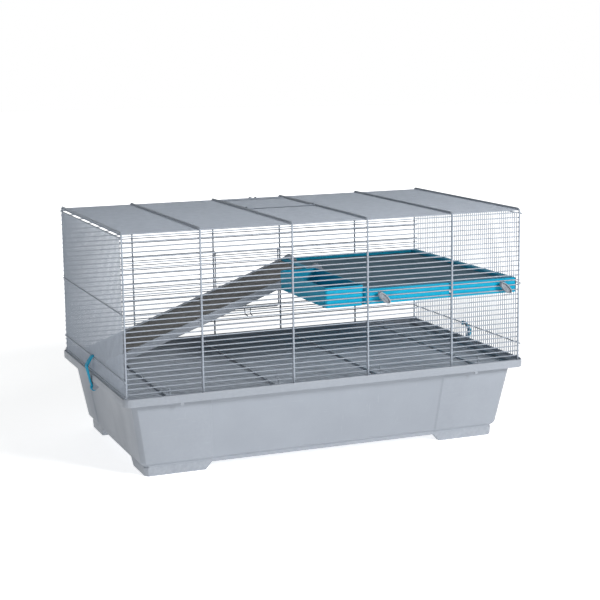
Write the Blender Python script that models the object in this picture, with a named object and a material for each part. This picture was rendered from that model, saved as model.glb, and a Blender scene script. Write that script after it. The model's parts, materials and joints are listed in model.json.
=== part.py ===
"""Small-animal cage: a plastic tray, a wire grate, a lift-off wire top with two doors, and plastic
fittings inside. Metres, +Z up, +X along the length, -Y is the front. The origin is on the ground
under the middle of the tray. Every third thin wire of the mesh is modelled, as a square bar."""

import math

import bmesh
import bpy

GAP = 0.0003

# Tray: half sizes in X and Y of its outlines, and heights above the ground.
RIM_HALF = (0.395, 0.237)
RIM_RADIUS = 0.016
RIM_TOP = 0.1545
RIM_BOTTOM = 0.140
LIP = 0.0025
LEDGE_TOP = 0.1495
LEDGE_HALF = (0.3785, 0.2225)
LEDGE_RADIUS = 0.003
STEP_TOP = 0.141
WALL_TOP_HALF = (0.376, 0.218)
WALL_FOOT_HALF = (0.356, 0.198)
WALL_RADIUS = 0.012
WALL = 0.003
WALL_FOOT_Z = 0.0195
SHOULDER_Z = (0.133, 0.138)
UNDERSIDE = 0.0135
HEEL_Z = 0.0155
MIDDLE_RECESS = 0.0025
RECESS_SLOPE = 0.0015
POST_TOP = (0.232, 0.124)
POST_FOOT = (0.223, 0.116)
FOOT_ARM = (0.114, 0.078)
FOOT_WIDTH = 0.014
FOOT_INSET = 0.0065
FOOT_CHAMFER = 0.010

# Clip lugs on the tray's two short sides, and the clips that turn on them.
PIVOT_X = 0.3912
PIVOT_Z = 0.1265
LUG_BAR_RADIUS = 0.0026
LUG_INNER = 0.0065
LUG_OUTER = 0.0095
CLIP_WIDTH = 0.011
CLIP_TIP_WIDTH = 0.005
CLIP_THICKNESS = 0.0026

# Wire top.
HOOP_HALF_LENGTH = 0.3871
HOOP_HALF_DEPTH = 0.224
HOOP_STEPS = (0.0, 0.181, 0.403, 0.593, 0.816, 1.0)
HOOP = 0.0036
WIRE = 0.0022
WIRES_PER_BAR = 3
WALL_WIRES = 31
ROOF_WIRES = 49
END_BARS = 18
END_BAR_THICKNESS = 0.002
WALL_PITCH = 0.0092
ROOF_PITCH = 0.0091427
END_PITCH = 0.00833
TOP_FOOT = 0.1498
ROOF_MIDDLE = 0.4434
END_BAR_HEIGHTS = (0.1566, 0.1844, 0.3014, 0.4346)
STUB_END = 0.229

# Doors, between the third and the fourth hoop.
DOOR_SIDE_GAP = 0.0015
DOOR_END_GAP = 0.0012
DOOR_HINGE_GAP = 0.0024
ROOF_DOOR_WIRES = (26, 44)
BACK_DOOR_WIRES = (6, 20)
PRONG_SPACING = 0.013
PRONG_LENGTH = 0.019

# Floor grate.
GRATE_HALF = (0.376, 0.220)
GRATE_BOTTOM = 0.1413
GRATE_THICKNESS = 0.0035
GRATE_PITCH = 0.0366
GRATE_CROSS_BARS = (-0.3067, -0.1015, 0.1015, 0.3067)
HANDLE_HEIGHT = 0.014
HANDLE_INSET = 0.006

# Platform, trough and ramp.
DECK_X = (0.0667, 0.3865)
DECK_HALF_Y = 0.219
SKIRT_BOTTOM = 0.2835
BORDER_TOP = 0.3115
BORDER_WIDTH = 0.0145
DECK_TOP = 0.3085
SHELL = 0.0025
SPARE_HOLE = (0.246, 0.004)
TROUGH_X = (-0.010, 0.0662)
TROUGH_Y = (-0.219, 0.0112)
TROUGH_Z = (0.2818, 0.320)
TROUGH_LIP = 0.010
TROUGH_LIP_THICKNESS = 0.0022
TROUGH_LIP_INSET = 0.012
RAMP_Y = (0.0520, 0.2025)
RAMP_FOOT = (-0.352, 0.1616)
RAMP_SLOPE = 0.3636
RAIL_DEPTH = 0.016
RAIL_WIDTH = 0.004
HOOK_REACH = (0.0159, 0.0199)
TREAD_DEPTHS = (0.0025, 0.006)

# Turn-knobs that hold the platform through the front and the back mesh.
KNOB_X = (0.1022, 0.3562)
KNOB_Z = 0.2955
KNOB_LENGTH = 0.030
KNOB_WIDTH = 0.0125
KNOB_DEPTH = 0.0085
KNOB_TILT = math.radians(44)
SPINDLE_RADIUS = 0.0030


def clear_scene():
    for obj in list(bpy.data.objects):
        bpy.data.objects.remove(obj, do_unlink=True)


def plastic(name, colour, roughness):
    material = bpy.data.materials.new(name)
    material.use_nodes = True
    shader = material.node_tree.nodes["Principled BSDF"]
    shader.inputs["Base Color"].default_value = (*colour, 1.0)
    shader.inputs["Roughness"].default_value = roughness
    shader.inputs["Metallic"].default_value = 0.0
    return material


def painted_wire(name, colour=(0.34, 0.39, 0.44)):
    material = plastic(name, colour, 0.38)
    material.node_tree.nodes["Principled BSDF"].inputs["Metallic"].default_value = 0.2
    return material


def add_object(name, bm, material, origin=(0.0, 0.0, 0.0)):
    """Puts a finished bmesh, given in world coordinates, in an object whose origin is its joint's axis."""
    bmesh.ops.translate(bm, verts=bm.verts, vec=[-value for value in origin])
    mesh = bpy.data.meshes.new(name)
    bm.to_mesh(mesh)
    bm.free()
    if material:
        mesh.materials.append(material)
    obj = bpy.data.objects.new(name, mesh)
    obj.location = origin
    bpy.context.scene.collection.objects.link(obj)
    return obj


def smooth(obj, degrees=35):
    obj.data.shade_smooth()
    obj.data.set_sharp_from_angle(angle=math.radians(degrees))


def boolean(obj, other, operation):
    """Joins a hidden tool object to obj, or cuts it out. The tool's own pieces don't overlap."""
    other.hide_render = True
    other.display_type = "WIRE"
    modifier = obj.modifiers.new(operation.lower(), "BOOLEAN")
    modifier.operation = operation
    modifier.object = other


# Solids made of bars: the cells of a grid that lie inside any bar, with their outer faces.


def grid_lines(boxes, axis):
    lines = sorted({round(value, 7) for box in boxes for value in (box[0][axis], box[1][axis])})
    return lines


def holds(box, point):
    return all(low < value < high for low, value, high in zip(box[0], point, box[1]))


def bars_bmesh(boxes):
    """One closed body from overlapping or touching boxes, each ((x, y, z) low, (x, y, z) high)."""
    lines = [grid_lines(boxes, axis) for axis in range(3)]
    counts = [len(line) - 1 for line in lines]
    filled = set()
    for i in range(counts[0]):
        for j in range(counts[1]):
            for k in range(counts[2]):
                middle = [
                    (lines[axis][index] + lines[axis][index + 1]) / 2
                    for axis, index in enumerate((i, j, k))
                ]
                if any(holds(box, middle) for box in boxes):
                    filled.add((i, j, k))
    bm = bmesh.new()
    corners = {}

    def corner(index):
        if index not in corners:
            corners[index] = bm.verts.new([lines[axis][index[axis]] for axis in range(3)])
        return corners[index]

    square = ((0, 0), (1, 0), (1, 1), (0, 1))
    for cell in filled:
        for axis in range(3):
            for side in (0, 1):
                beside = list(cell)
                beside[axis] += 1 if side else -1
                if tuple(beside) in filled:
                    continue
                first, second = (axis + 1) % 3, (axis + 2) % 3
                face = []
                for a, b in square:
                    index = list(cell)
                    index[axis] += side
                    index[first] += a
                    index[second] += b
                    face.append(corner(tuple(index)))
                bm.faces.new(face if side else face[::-1])
    return bm


def span(middle, width):
    return middle - width / 2, middle + width / 2


def hoop_positions():
    return [HOOP_HALF_LENGTH * (2 * step - 1) for step in HOOP_STEPS]


def doorway_x():
    hoops = hoop_positions()
    return hoops[2] + HOOP / 2, hoops[3] - HOOP / 2


def wall_wire(number):
    return TOP_FOOT + WIRE / 2 + WALL_PITCH * number


def roof_wire(number):
    return -24 * ROOF_PITCH + ROOF_PITCH * number


# Lofted solids: a stack of outlines with the same number of points, joined by quads and capped.


def loft_bmesh(outlines):
    """Outlines are lists of (x, y, z), anticlockwise from above, listed from the underside round."""
    bm = bmesh.new()
    rings = [[bm.verts.new(point) for point in outline] for outline in outlines]
    count = len(rings[0])
    for lower, upper in zip(rings, rings[1:]):
        for i in range(count):
            after = (i + 1) % count
            bm.faces.new((lower[i], lower[after], upper[after], upper[i]))
    bm.faces.new(rings[0][::-1])
    bm.faces.new(rings[-1])
    return bm


def four_quarters(quarter, centre=(0.0, 0.0)):
    """Mirrors the outline of the +X +Y quarter into a whole anticlockwise outline."""
    points = list(quarter)
    points += [(-x, y) for x, y in reversed(quarter)]
    points += [(-x, -y) for x, y in quarter]
    points += [(x, -y) for x, y in reversed(quarter)]
    return [(x + centre[0], y + centre[1]) for x, y in points]


def corner_arc(half_x, half_y, radius, steps=3):
    turns = [math.pi / 2 * step / steps for step in range(steps + 1)]
    return [
        (half_x - radius + radius * math.cos(turn), half_y - radius + radius * math.sin(turn))
        for turn in turns
    ]


def rounded_outline(half, radius, z, centre=(0.0, 0.0)):
    return [(x, y, z) for x, y in four_quarters(corner_arc(*half, radius), centre)]


def tray_outline(half, radius, z, recess=0.0, post=POST_TOP):
    """Rounded rectangle whose sides, between the corner posts, are set in by recess."""
    half_x, half_y = half
    quarter = [(half_x - recess, post[1] - RECESS_SLOPE), (half_x, post[1] + RECESS_SLOPE)]
    quarter += corner_arc(half_x, half_y, radius)
    quarter += [(post[0] + RECESS_SLOPE, half_y), (post[0] - RECESS_SLOPE, half_y - recess)]
    return [(x, y, z) for x, y in four_quarters(quarter)]


def grown(half, by):
    return half[0] + by, half[1] + by


def prism_bmesh(outline, y_low, y_high):
    """Extrudes an (x, z) outline along Y; the outline runs anticlockwise seen from the front."""
    bm = bmesh.new()
    front = [bm.verts.new((x, y_low, z)) for x, z in outline]
    back = [bm.verts.new((x, y_high, z)) for x, z in outline]
    count = len(outline)
    for i in range(count):
        after = (i + 1) % count
        bm.faces.new((front[after], front[i], back[i], back[after]))
    bm.faces.new(front)
    bm.faces.new(back[::-1])
    return bm


def joined(parts):
    """Puts several bmeshes in one, as separate bodies."""
    whole = bmesh.new()
    for part in parts:
        mesh = bpy.data.meshes.new("piece")
        part.to_mesh(mesh)
        part.free()
        whole.from_mesh(mesh)
        bpy.data.meshes.remove(mesh)
    return whole


def ellipse(radius_x, radius_z, centre, tilt=0.0, steps=20):
    points = []
    for step in range(steps):
        turn = 2 * math.pi * step / steps
        along, across = radius_x * math.cos(turn), radius_z * math.sin(turn)
        x = centre[0] + along * math.cos(tilt) - across * math.sin(tilt)
        z = centre[1] + along * math.sin(tilt) + across * math.cos(tilt)
        points.append((x, z))
    return points


def box_bmesh(low, high):
    return bars_bmesh([(low, high)])


# Tray.


def tray_feet():
    """Four L-shaped feet, with sloped ends, that run up into the tray's underside."""
    feet = []
    corner_x, corner_y = (side - FOOT_INSET for side in WALL_FOOT_HALF)
    for sign_x, sign_y in ((1, 1), (-1, 1), (-1, -1), (1, -1)):
        outlines = []
        for z, extra in ((0.0, 0.0), (UNDERSIDE + 0.002, FOOT_CHAMFER)):
            arm_x, arm_y = FOOT_ARM[0] + extra, FOOT_ARM[1] + extra
            points = [
                (corner_x, corner_y),
                (corner_x - arm_x, corner_y),
                (corner_x - arm_x, corner_y - FOOT_WIDTH),
                (corner_x - FOOT_WIDTH, corner_y - FOOT_WIDTH),
                (corner_x - FOOT_WIDTH, corner_y - arm_y),
                (corner_x, corner_y - arm_y),
            ]
            points = [(x * sign_x, y * sign_y, z) for x, y in points]
            outlines.append(points if sign_x == sign_y else points[::-1])
        feet.append(loft_bmesh(outlines))
    return feet


def lug_ears():
    """Two ears under the rim on each short side."""
    ears = []
    for side in (-1, 1):
        for end in (-1, 1):
            xs = sorted((side * (LEDGE_HALF[0] + 0.001), side * (RIM_HALF[0] - 0.0013)))
            ys = sorted((end * LUG_INNER, end * LUG_OUTER))
            ears.append(box_bmesh((xs[0], ys[0], PIVOT_Z - 0.0045), (xs[1], ys[1], LEDGE_TOP - 0.002)))
    return ears


def lug_bars():
    """The round bar between the two ears, on each short side."""
    bars = []
    for side in (-1, 1):
        outline = ellipse(LUG_BAR_RADIUS, LUG_BAR_RADIUS, (side * PIVOT_X, PIVOT_Z), steps=12)
        bars.append(prism_bmesh(outline, -LUG_INNER - 0.001, LUG_INNER + 0.001))
    return bars


def make_tray(material):
    wall_rise = SHOULDER_Z[1] - WALL_FOOT_Z
    foot_half, top_half = WALL_FOOT_HALF, WALL_TOP_HALF

    def wall(z, recess=0.0, inwards=0.0):
        share = (z - WALL_FOOT_Z) / wall_rise
        half = [low + (high - low) * share - inwards for low, high in zip(foot_half, top_half)]
        post = [low + (high - low) * share for low, high in zip(POST_FOOT, POST_TOP)]
        return tray_outline(half, WALL_RADIUS - inwards, z, recess, post)

    skirt = grown(RIM_HALF, -LIP)
    step_outer = grown(LEDGE_HALF, WALL)
    outlines = [
        tray_outline(grown(foot_half, -0.0055), WALL_RADIUS - 0.004, UNDERSIDE, 0.0, POST_FOOT),
        tray_outline(grown(foot_half, -0.0015), WALL_RADIUS - 0.001, HEEL_Z, 0.0, POST_FOOT),
        wall(WALL_FOOT_Z, MIDDLE_RECESS),
        wall(SHOULDER_Z[0], MIDDLE_RECESS),
        wall(SHOULDER_Z[1]),
        tray_outline(step_outer, LEDGE_RADIUS + WALL, SHOULDER_Z[1] + 0.0005),
        tray_outline(step_outer, LEDGE_RADIUS + WALL, LEDGE_TOP - WALL),
        tray_outline(skirt, RIM_RADIUS - LIP, LEDGE_TOP - WALL),
        tray_outline(skirt, RIM_RADIUS - LIP, RIM_BOTTOM),
        tray_outline(RIM_HALF, RIM_RADIUS, RIM_BOTTOM),
        tray_outline(RIM_HALF, RIM_RADIUS, RIM_TOP),
        tray_outline(skirt, RIM_RADIUS - LIP, RIM_TOP),
        tray_outline(skirt, RIM_RADIUS - LIP, LEDGE_TOP),
        tray_outline(LEDGE_HALF, LEDGE_RADIUS, LEDGE_TOP),
        tray_outline(LEDGE_HALF, LEDGE_RADIUS, STEP_TOP),
        wall(STEP_TOP, inwards=WALL),
        wall(SHOULDER_Z[0] + 0.001, MIDDLE_RECESS, WALL),
        wall(WALL_FOOT_Z + 0.0025, MIDDLE_RECESS, WALL),
        tray_outline(grown(foot_half, -0.008), WALL_RADIUS - 0.006, UNDERSIDE + WALL, 0.0, POST_FOOT),
    ]
    tray = add_object("base_tray", loft_bmesh(outlines), material)
    tools = {"tray_feet_tool": tray_feet(), "lug_ear_tool": lug_ears(), "lug_bar_tool": lug_bars()}
    for name, pieces in tools.items():
        boolean(tray, add_object(name, joined(pieces), None), "UNION")
    smooth(tray)


def make_grate(material):
    low, high = GRATE_BOTTOM, GRATE_BOTTOM + GRATE_THICKNESS
    half_x, half_y = GRATE_HALF
    rows = round(2 * (half_y - WIRE / 2) / GRATE_PITCH)
    pitch = 2 * (half_y - WIRE / 2) / rows
    boxes = []
    for row in range(rows + 1):
        y = span(-half_y + WIRE / 2 + pitch * row, WIRE)
        boxes.append(((-half_x, y[0], low), (half_x, y[1], high)))
    for end in (-1, 1):
        x = span(end * (half_x - WIRE / 2), WIRE)
        boxes.append(((x[0], -half_y, low), (x[1], half_y, high)))
    for bar in GRATE_CROSS_BARS:
        x = span(bar, GRATE_THICKNESS)
        boxes.append(((x[0], -half_y, low), (x[1], half_y, high)))
        y = (HANDLE_INSET - half_y, HANDLE_INSET - half_y + GRATE_THICKNESS)
        boxes.append(((x[0], y[0], low), (x[1], y[1], high + HANDLE_HEIGHT)))
    add_object("floor_grate", bars_bmesh(boxes), material)


# Wire top.


def standing_mesh_bars(y_low, y_high, doorway=None):
    """Hoop legs and lengthwise bars of the front or the back; doorway is its (low, high) wires."""
    top = ROOF_MIDDLE - HOOP / 2 - GAP
    boxes = []
    for x in hoop_positions():
        boxes.append(((x - HOOP / 2, y_low, TOP_FOOT), (x + HOOP / 2, y_high, top)))
    left, right = -HOOP_HALF_LENGTH, HOOP_HALF_LENGTH
    for number in range(0, WALL_WIRES, WIRES_PER_BAR):
        z = span(wall_wire(number), WIRE)
        runs = [(left, right)]
        if doorway and doorway[0] < number < doorway[1]:
            runs = [(left, doorway_x()[0]), (doorway_x()[1], right)]
        for start, end in runs:
            boxes.append(((start, y_low, z[0]), (end, y_high, z[1])))
    if doorway:
        for number in doorway:
            z = span(wall_wire(number), WIRE)
            boxes.append(((hoop_positions()[2], y_low, z[0]), (hoop_positions()[3], y_high, z[1])))
    return boxes


def make_front_and_back():
    thickness = span(HOOP_HALF_DEPTH, HOOP)
    front = standing_mesh_bars(-thickness[1], -thickness[0])
    add_object("front_panel", bars_bmesh(front), painted_wire("front_wire"))
    back = standing_mesh_bars(*thickness, doorway=BACK_DOOR_WIRES)
    add_object("back_panel", bars_bmesh(back), painted_wire("back_wire"))


def make_roof(material):
    low, high = span(ROOF_MIDDLE, HOOP)
    edge = HOOP_HALF_DEPTH + HOOP / 2
    boxes = []
    for x in hoop_positions():
        boxes.append(((x - HOOP / 2, -edge, low), (x + HOOP / 2, edge, high)))
    left, right = -HOOP_HALF_LENGTH, HOOP_HALF_LENGTH
    for number in range(0, ROOF_WIRES, WIRES_PER_BAR):
        y = span(roof_wire(number), WIRE)
        runs = [(left, right)]
        if ROOF_DOOR_WIRES[0] < number < ROOF_DOOR_WIRES[1]:
            runs = [(left, doorway_x()[0]), (doorway_x()[1], right)]
        for start, end in runs:
            boxes.append(((start, y[0], low), (end, y[1], high)))
    for number in ROOF_DOOR_WIRES:
        y = span(roof_wire(number), WIRE)
        boxes.append(((hoop_positions()[2], y[0], low), (hoop_positions()[3], y[1], high)))
    add_object("roof_panel", bars_bmesh(boxes), material)


def make_end_panel(name, side, material):
    """Upright bars just outside the corner hoops, and four bars across whose ends stand proud."""
    inner = HOOP_HALF_LENGTH + HOOP / 2 + GAP
    x = sorted((side * inner, side * (inner + END_BAR_THICKNESS)))
    pitch = END_PITCH * WIRES_PER_BAR
    boxes = []
    for upright in range(END_BARS):
        y = span((upright - (END_BARS - 1) / 2) * pitch, WIRE)
        boxes.append(((x[0], y[0], TOP_FOOT), (x[1], y[1], END_BAR_HEIGHTS[-1])))
    for height in END_BAR_HEIGHTS:
        z = span(height, WIRE)
        boxes.append(((x[0], -STUB_END, z[0]), (x[1], STUB_END, z[1])))
    add_object(name, bars_bmesh(boxes), material)


def make_roof_door(material):
    low, high = span(ROOF_MIDDLE, HOOP)
    left, right = doorway_x()[0] + DOOR_SIDE_GAP, doorway_x()[1] - DOOR_SIDE_GAP
    front = roof_wire(ROOF_DOOR_WIRES[0]) + WIRE / 2 + DOOR_HINGE_GAP
    back = roof_wire(ROOF_DOOR_WIRES[1]) - WIRE / 2 - DOOR_END_GAP
    boxes = [
        ((left, front, low), (left + WIRE, back, high)),
        ((right - WIRE, front, low), (right, back, high)),
        ((left, front, low), (right, front + WIRE, high)),
        ((left, back - WIRE, low), (right, back, high)),
    ]
    for number in range(ROOF_DOOR_WIRES[0] + 4, ROOF_DOOR_WIRES[1], WIRES_PER_BAR):
        y = span(roof_wire(number), WIRE)
        boxes.append(((left, y[0], low), (right, y[1], high)))
    middle = (left + right) / 2
    for x in span(middle, PRONG_SPACING):
        prong = span(x, WIRE)
        boxes.append(((prong[0], back - WIRE, high - 0.001), (prong[1], back, high + GAP)))
        top = (high + GAP, high + GAP + WIRE)
        boxes.append(((prong[0], back - WIRE, top[0]), (prong[1], back + PRONG_LENGTH / 2, top[1])))
    origin = (middle, front + WIRE / 2, ROOF_MIDDLE)
    add_object("roof_door", bars_bmesh(boxes), material, origin)


def make_back_door(material):
    y_low, y_high = span(HOOP_HALF_DEPTH, HOOP)
    left, right = doorway_x()[0] + DOOR_SIDE_GAP, doorway_x()[1] - DOOR_SIDE_GAP
    bottom = wall_wire(BACK_DOOR_WIRES[0]) + WIRE / 2 + DOOR_END_GAP
    top = wall_wire(BACK_DOOR_WIRES[1]) - WIRE / 2 - DOOR_HINGE_GAP
    boxes = [
        ((left, y_low, bottom), (left + WIRE, y_high, top)),
        ((right - WIRE, y_low, bottom), (right, y_high, top)),
        ((left, y_low, bottom), (right, y_high, bottom + WIRE)),
        ((left, y_low, top - WIRE), (right, y_high, top)),
    ]
    for number in range(BACK_DOOR_WIRES[0] + 3, BACK_DOOR_WIRES[1] - 1, WIRES_PER_BAR):
        z = span(wall_wire(number), WIRE)
        boxes.append(((left, y_low, z[0]), (right, y_high, z[1])))
    middle = (left + right) / 2
    outside = (y_high + GAP, y_high + GAP + WIRE)
    for x in span(middle, PRONG_SPACING):
        prong = span(x, WIRE)
        boxes.append(((prong[0], y_high - 0.001, bottom), (prong[1], outside[0], bottom + WIRE)))
        foot = bottom - PRONG_LENGTH
        boxes.append(((prong[0], outside[0], foot), (prong[1], outside[1], bottom + WIRE)))
    origin = (middle, HOOP_HALF_DEPTH, top - WIRE / 2)
    add_object("back_door", bars_bmesh(boxes), material, origin)


# Platform, trough and ramp.


def make_platform(material):
    centre = (sum(DECK_X) / 2, 0.0)
    half = ((DECK_X[1] - DECK_X[0]) / 2, DECK_HALF_Y)
    radius = 0.008
    inner_radius = 0.006
    recess_radius = 0.0015
    deck_half = grown(half, -BORDER_WIDTH)
    outlines = [
        rounded_outline(grown(half, -SHELL), inner_radius, DECK_TOP - SHELL, centre),
        rounded_outline(grown(half, -SHELL), inner_radius, SKIRT_BOTTOM, centre),
        rounded_outline(half, radius, SKIRT_BOTTOM, centre),
        rounded_outline(half, radius, BORDER_TOP - 0.0015, centre),
        rounded_outline(grown(half, -0.0015), radius - 0.0015, BORDER_TOP, centre),
        rounded_outline(deck_half, recess_radius, BORDER_TOP, centre),
        rounded_outline(grown(deck_half, -0.001), recess_radius, DECK_TOP, centre),
    ]
    platform = add_object("platform", loft_bmesh(outlines), material)
    holes = []
    for x, hole in [(x, SPINDLE_RADIUS + 0.0004) for x in KNOB_X] + [SPARE_HOLE]:
        for side in (-1, 1):
            y = sorted((side * (DECK_HALF_Y - 0.008), side * (DECK_HALF_Y + 0.004)))
            holes.append(prism_bmesh(ellipse(hole, hole, (x, KNOB_Z), steps=16), *y))
    boolean(platform, add_object("knob_hole_tool", joined(holes), None), "DIFFERENCE")
    smooth(platform)


def make_trough(material):
    centre = (sum(TROUGH_X) / 2, sum(TROUGH_Y) / 2)
    half = ((TROUGH_X[1] - TROUGH_X[0]) / 2, (TROUGH_Y[1] - TROUGH_Y[0]) / 2)
    floor, top = TROUGH_Z
    radius = 0.006
    outlines = [
        rounded_outline(grown(half, -0.003), radius, floor, centre),
        rounded_outline(grown(half, -0.0015), radius, floor + 0.0015, centre),
        rounded_outline(half, radius, top, centre),
        rounded_outline(grown(half, -SHELL), radius - 0.002, top, centre),
        rounded_outline(grown(half, -SHELL - 0.0015), radius - 0.002, floor + SHELL + 0.0015, centre),
        rounded_outline(grown(half, -0.0055), radius - 0.002, floor + SHELL, centre),
    ]
    trough = add_object("feeding_trough", loft_bmesh(outlines), material)
    lip_bottom = BORDER_TOP + GAP
    lip = box_bmesh(
        (TROUGH_X[1] - 0.0015, TROUGH_Y[0] + TROUGH_LIP_INSET, lip_bottom),
        (TROUGH_X[1] + TROUGH_LIP, TROUGH_Y[1] - TROUGH_LIP_INSET, lip_bottom + TROUGH_LIP_THICKNESS),
    )
    boolean(trough, add_object("trough_lip_tool", lip, None), "UNION")
    smooth(trough)


def ramp_height(x):
    return RAMP_FOOT[1] + RAMP_SLOPE * (x - RAMP_FOOT[0])


def make_ramp(material):
    """Two side rails, whose upper ends hook over the platform's border, and the tread between them."""
    foot_x = RAMP_FOOT[0]
    hook_start = DECK_X[0] - 0.0005
    hook_inner, hook_end = (DECK_X[0] + reach for reach in HOOK_REACH)
    rail = [
        (foot_x, ramp_height(foot_x) - RAIL_DEPTH),
        (hook_start, ramp_height(hook_start) - RAIL_DEPTH),
        (hook_start, BORDER_TOP + GAP),
        (hook_inner, BORDER_TOP + GAP),
        (hook_inner, DECK_TOP + GAP),
        (hook_end, DECK_TOP + GAP),
        (hook_end, ramp_height(hook_end)),
        (foot_x, ramp_height(foot_x)),
    ]
    tread_end = DECK_X[0] - 0.004
    top_depth, bottom_depth = TREAD_DEPTHS
    tread = [
        (foot_x, ramp_height(foot_x) - bottom_depth),
        (tread_end, ramp_height(tread_end) - bottom_depth),
        (tread_end, ramp_height(tread_end) - top_depth),
        (foot_x, ramp_height(foot_x) - top_depth),
    ]
    near, far = RAMP_Y
    ramp = add_object("ramp", prism_bmesh(tread, near + 0.001, far - 0.001), material)
    rails = [prism_bmesh(rail, near, near + RAIL_WIDTH), prism_bmesh(rail, far - RAIL_WIDTH, far)]
    boolean(ramp, add_object("ramp_rail_tool", joined(rails), None), "UNION")


# Clips and knobs.


def strap_outline(path, thickness):
    """Outline of a strap of even thickness along an (x, z) path."""
    left, right = [], []
    for i, point in enumerate(path):
        before = path[max(i - 1, 0)]
        after = path[min(i + 1, len(path) - 1)]
        directions = []
        for start, end in ((before, point), (point, after)):
            length = math.dist(start, end)
            if length:
                directions.append(((end[0] - start[0]) / length, (end[1] - start[1]) / length))
        along = [sum(axis) for axis in zip(*directions)]
        size = math.hypot(*along)
        normal = (-along[1] / size, along[0] / size)
        cosine = abs(normal[0] * -directions[0][1] + normal[1] * directions[0][0])
        reach = thickness / 2 / cosine
        left.append((point[0] + normal[0] * reach, point[1] + normal[1] * reach))
        right.append((point[0] - normal[0] * reach, point[1] - normal[1] * reach))
    return left + right[::-1]


def clip_path():
    """Centre line of the left clip, in (x, z), from the hook's crown to the finger tab."""
    curl = LUG_BAR_RADIUS + 0.0005 + CLIP_THICKNESS / 2
    crown_x = -HOOP_HALF_LENGTH - HOOP / 2 - 0.0007
    path = [
        (crown_x, END_BAR_HEIGHTS[1] + 0.0028),
        (crown_x - 0.0032, END_BAR_HEIGHTS[1] + 0.0027),
        (-0.4034, 0.1690),
        (-0.3990, 0.1490),
        (-0.3968, 0.1380),
    ]
    for step in range(9):
        turn = math.radians(125 - 215 * step / 8)
        path.append((-PIVOT_X + curl * math.cos(turn), PIVOT_Z + curl * math.sin(turn)))
    path.append((-0.3970, 0.1214))
    return path


def mirrored_outline(outline, side):
    """Flips a left-hand outline for the right-hand end, and keeps it anticlockwise from the front."""
    if side > 0:
        outline = [(-x, z) for x, z in reversed(outline)]
    area = sum(a[0] * b[1] - b[0] * a[1] for a, b in zip(outline, outline[1:] + outline[:1]))
    return outline if area > 0 else outline[::-1]


def make_clip(name, side, material):
    outline = mirrored_outline(strap_outline(clip_path(), CLIP_THICKNESS), side)
    body = prism_bmesh(outline, -CLIP_WIDTH / 2, CLIP_WIDTH / 2)
    origin = (side * PIVOT_X, 0.0, PIVOT_Z)
    clip = add_object(name, body, material, origin)
    inner = HOOP_HALF_LENGTH + HOOP / 2 + 0.0002 - GAP * 2
    x = sorted((side * inner, side * (inner - 0.0026)))
    z = (END_BAR_HEIGHTS[1] - 0.0035, END_BAR_HEIGHTS[1] + 0.0041)
    half = CLIP_TIP_WIDTH / 2
    bridge_x = sorted((side * (inner - 0.0026), side * (inner + 0.003)))
    tip = bars_bmesh([
        ((x[0], -half, z[0]), (x[1], half, z[1])),
        ((bridge_x[0], -half, z[1] - 0.0026), (bridge_x[1], half, z[1])),
    ])
    boolean(clip, add_object(name + "_tip_tool", tip, None), "UNION")
    smooth(clip)


def make_knob(name, x, side, material):
    """Ribbed oval head outside the mesh, and the spindle that runs through it into the platform."""
    mesh_face = HOOP_HALF_DEPTH + HOOP / 2 + GAP
    centre = (x, KNOB_Z)
    tilt = KNOB_TILT * side
    head_y = sorted((side * mesh_face, side * (mesh_face + KNOB_DEPTH)))
    head = ellipse(KNOB_LENGTH / 2, KNOB_WIDTH / 2, centre, tilt)
    origin = (x, side * HOOP_HALF_DEPTH, KNOB_Z)
    knob = add_object(name, prism_bmesh(head, *head_y), material, origin)
    spindle_y = sorted((side * (DECK_HALF_Y - 0.006), side * (mesh_face + 0.002)))
    spindle = prism_bmesh(ellipse(SPINDLE_RADIUS, SPINDLE_RADIUS, centre, steps=12), *spindle_y)
    boolean(knob, add_object(name + "_spindle_tool", spindle, None), "UNION")
    smooth(knob)


def build():
    clear_scene()
    make_tray(plastic("tray_plastic", (0.44, 0.48, 0.53), 0.42))
    make_grate(painted_wire("grate_wire", (0.22, 0.24, 0.27)))
    make_front_and_back()
    make_roof(painted_wire("roof_wire_paint"))
    for name, side in (("left_end_panel", -1), ("right_end_panel", 1)):
        make_end_panel(name, side, painted_wire(name + "_wire"))
    make_roof_door(painted_wire("roof_door_wire"))
    make_back_door(painted_wire("back_door_wire"))
    make_platform(plastic("platform_plastic", (0.0, 0.36, 0.52), 0.2))
    make_trough(plastic("trough_plastic", (0.0, 0.38, 0.55), 0.22))
    make_ramp(plastic("ramp_plastic", (0.17, 0.17, 0.18), 0.45))
    for name, side in (("clip_left", -1), ("clip_right", 1)):
        make_clip(name, side, plastic(name + "_plastic", (0.0, 0.33, 0.48), 0.3))
    for place, side in (("front", -1), ("rear", 1)):
        for hand, x in zip(("left", "right"), KNOB_X):
            name = f"{place}_knob_{hand}"
            make_knob(name, x, side, plastic(name + "_plastic", (0.16, 0.2, 0.23), 0.4))


build()
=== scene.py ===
import json
import math
import random

import bmesh
import bpy
from mathutils import Matrix, Vector


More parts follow.
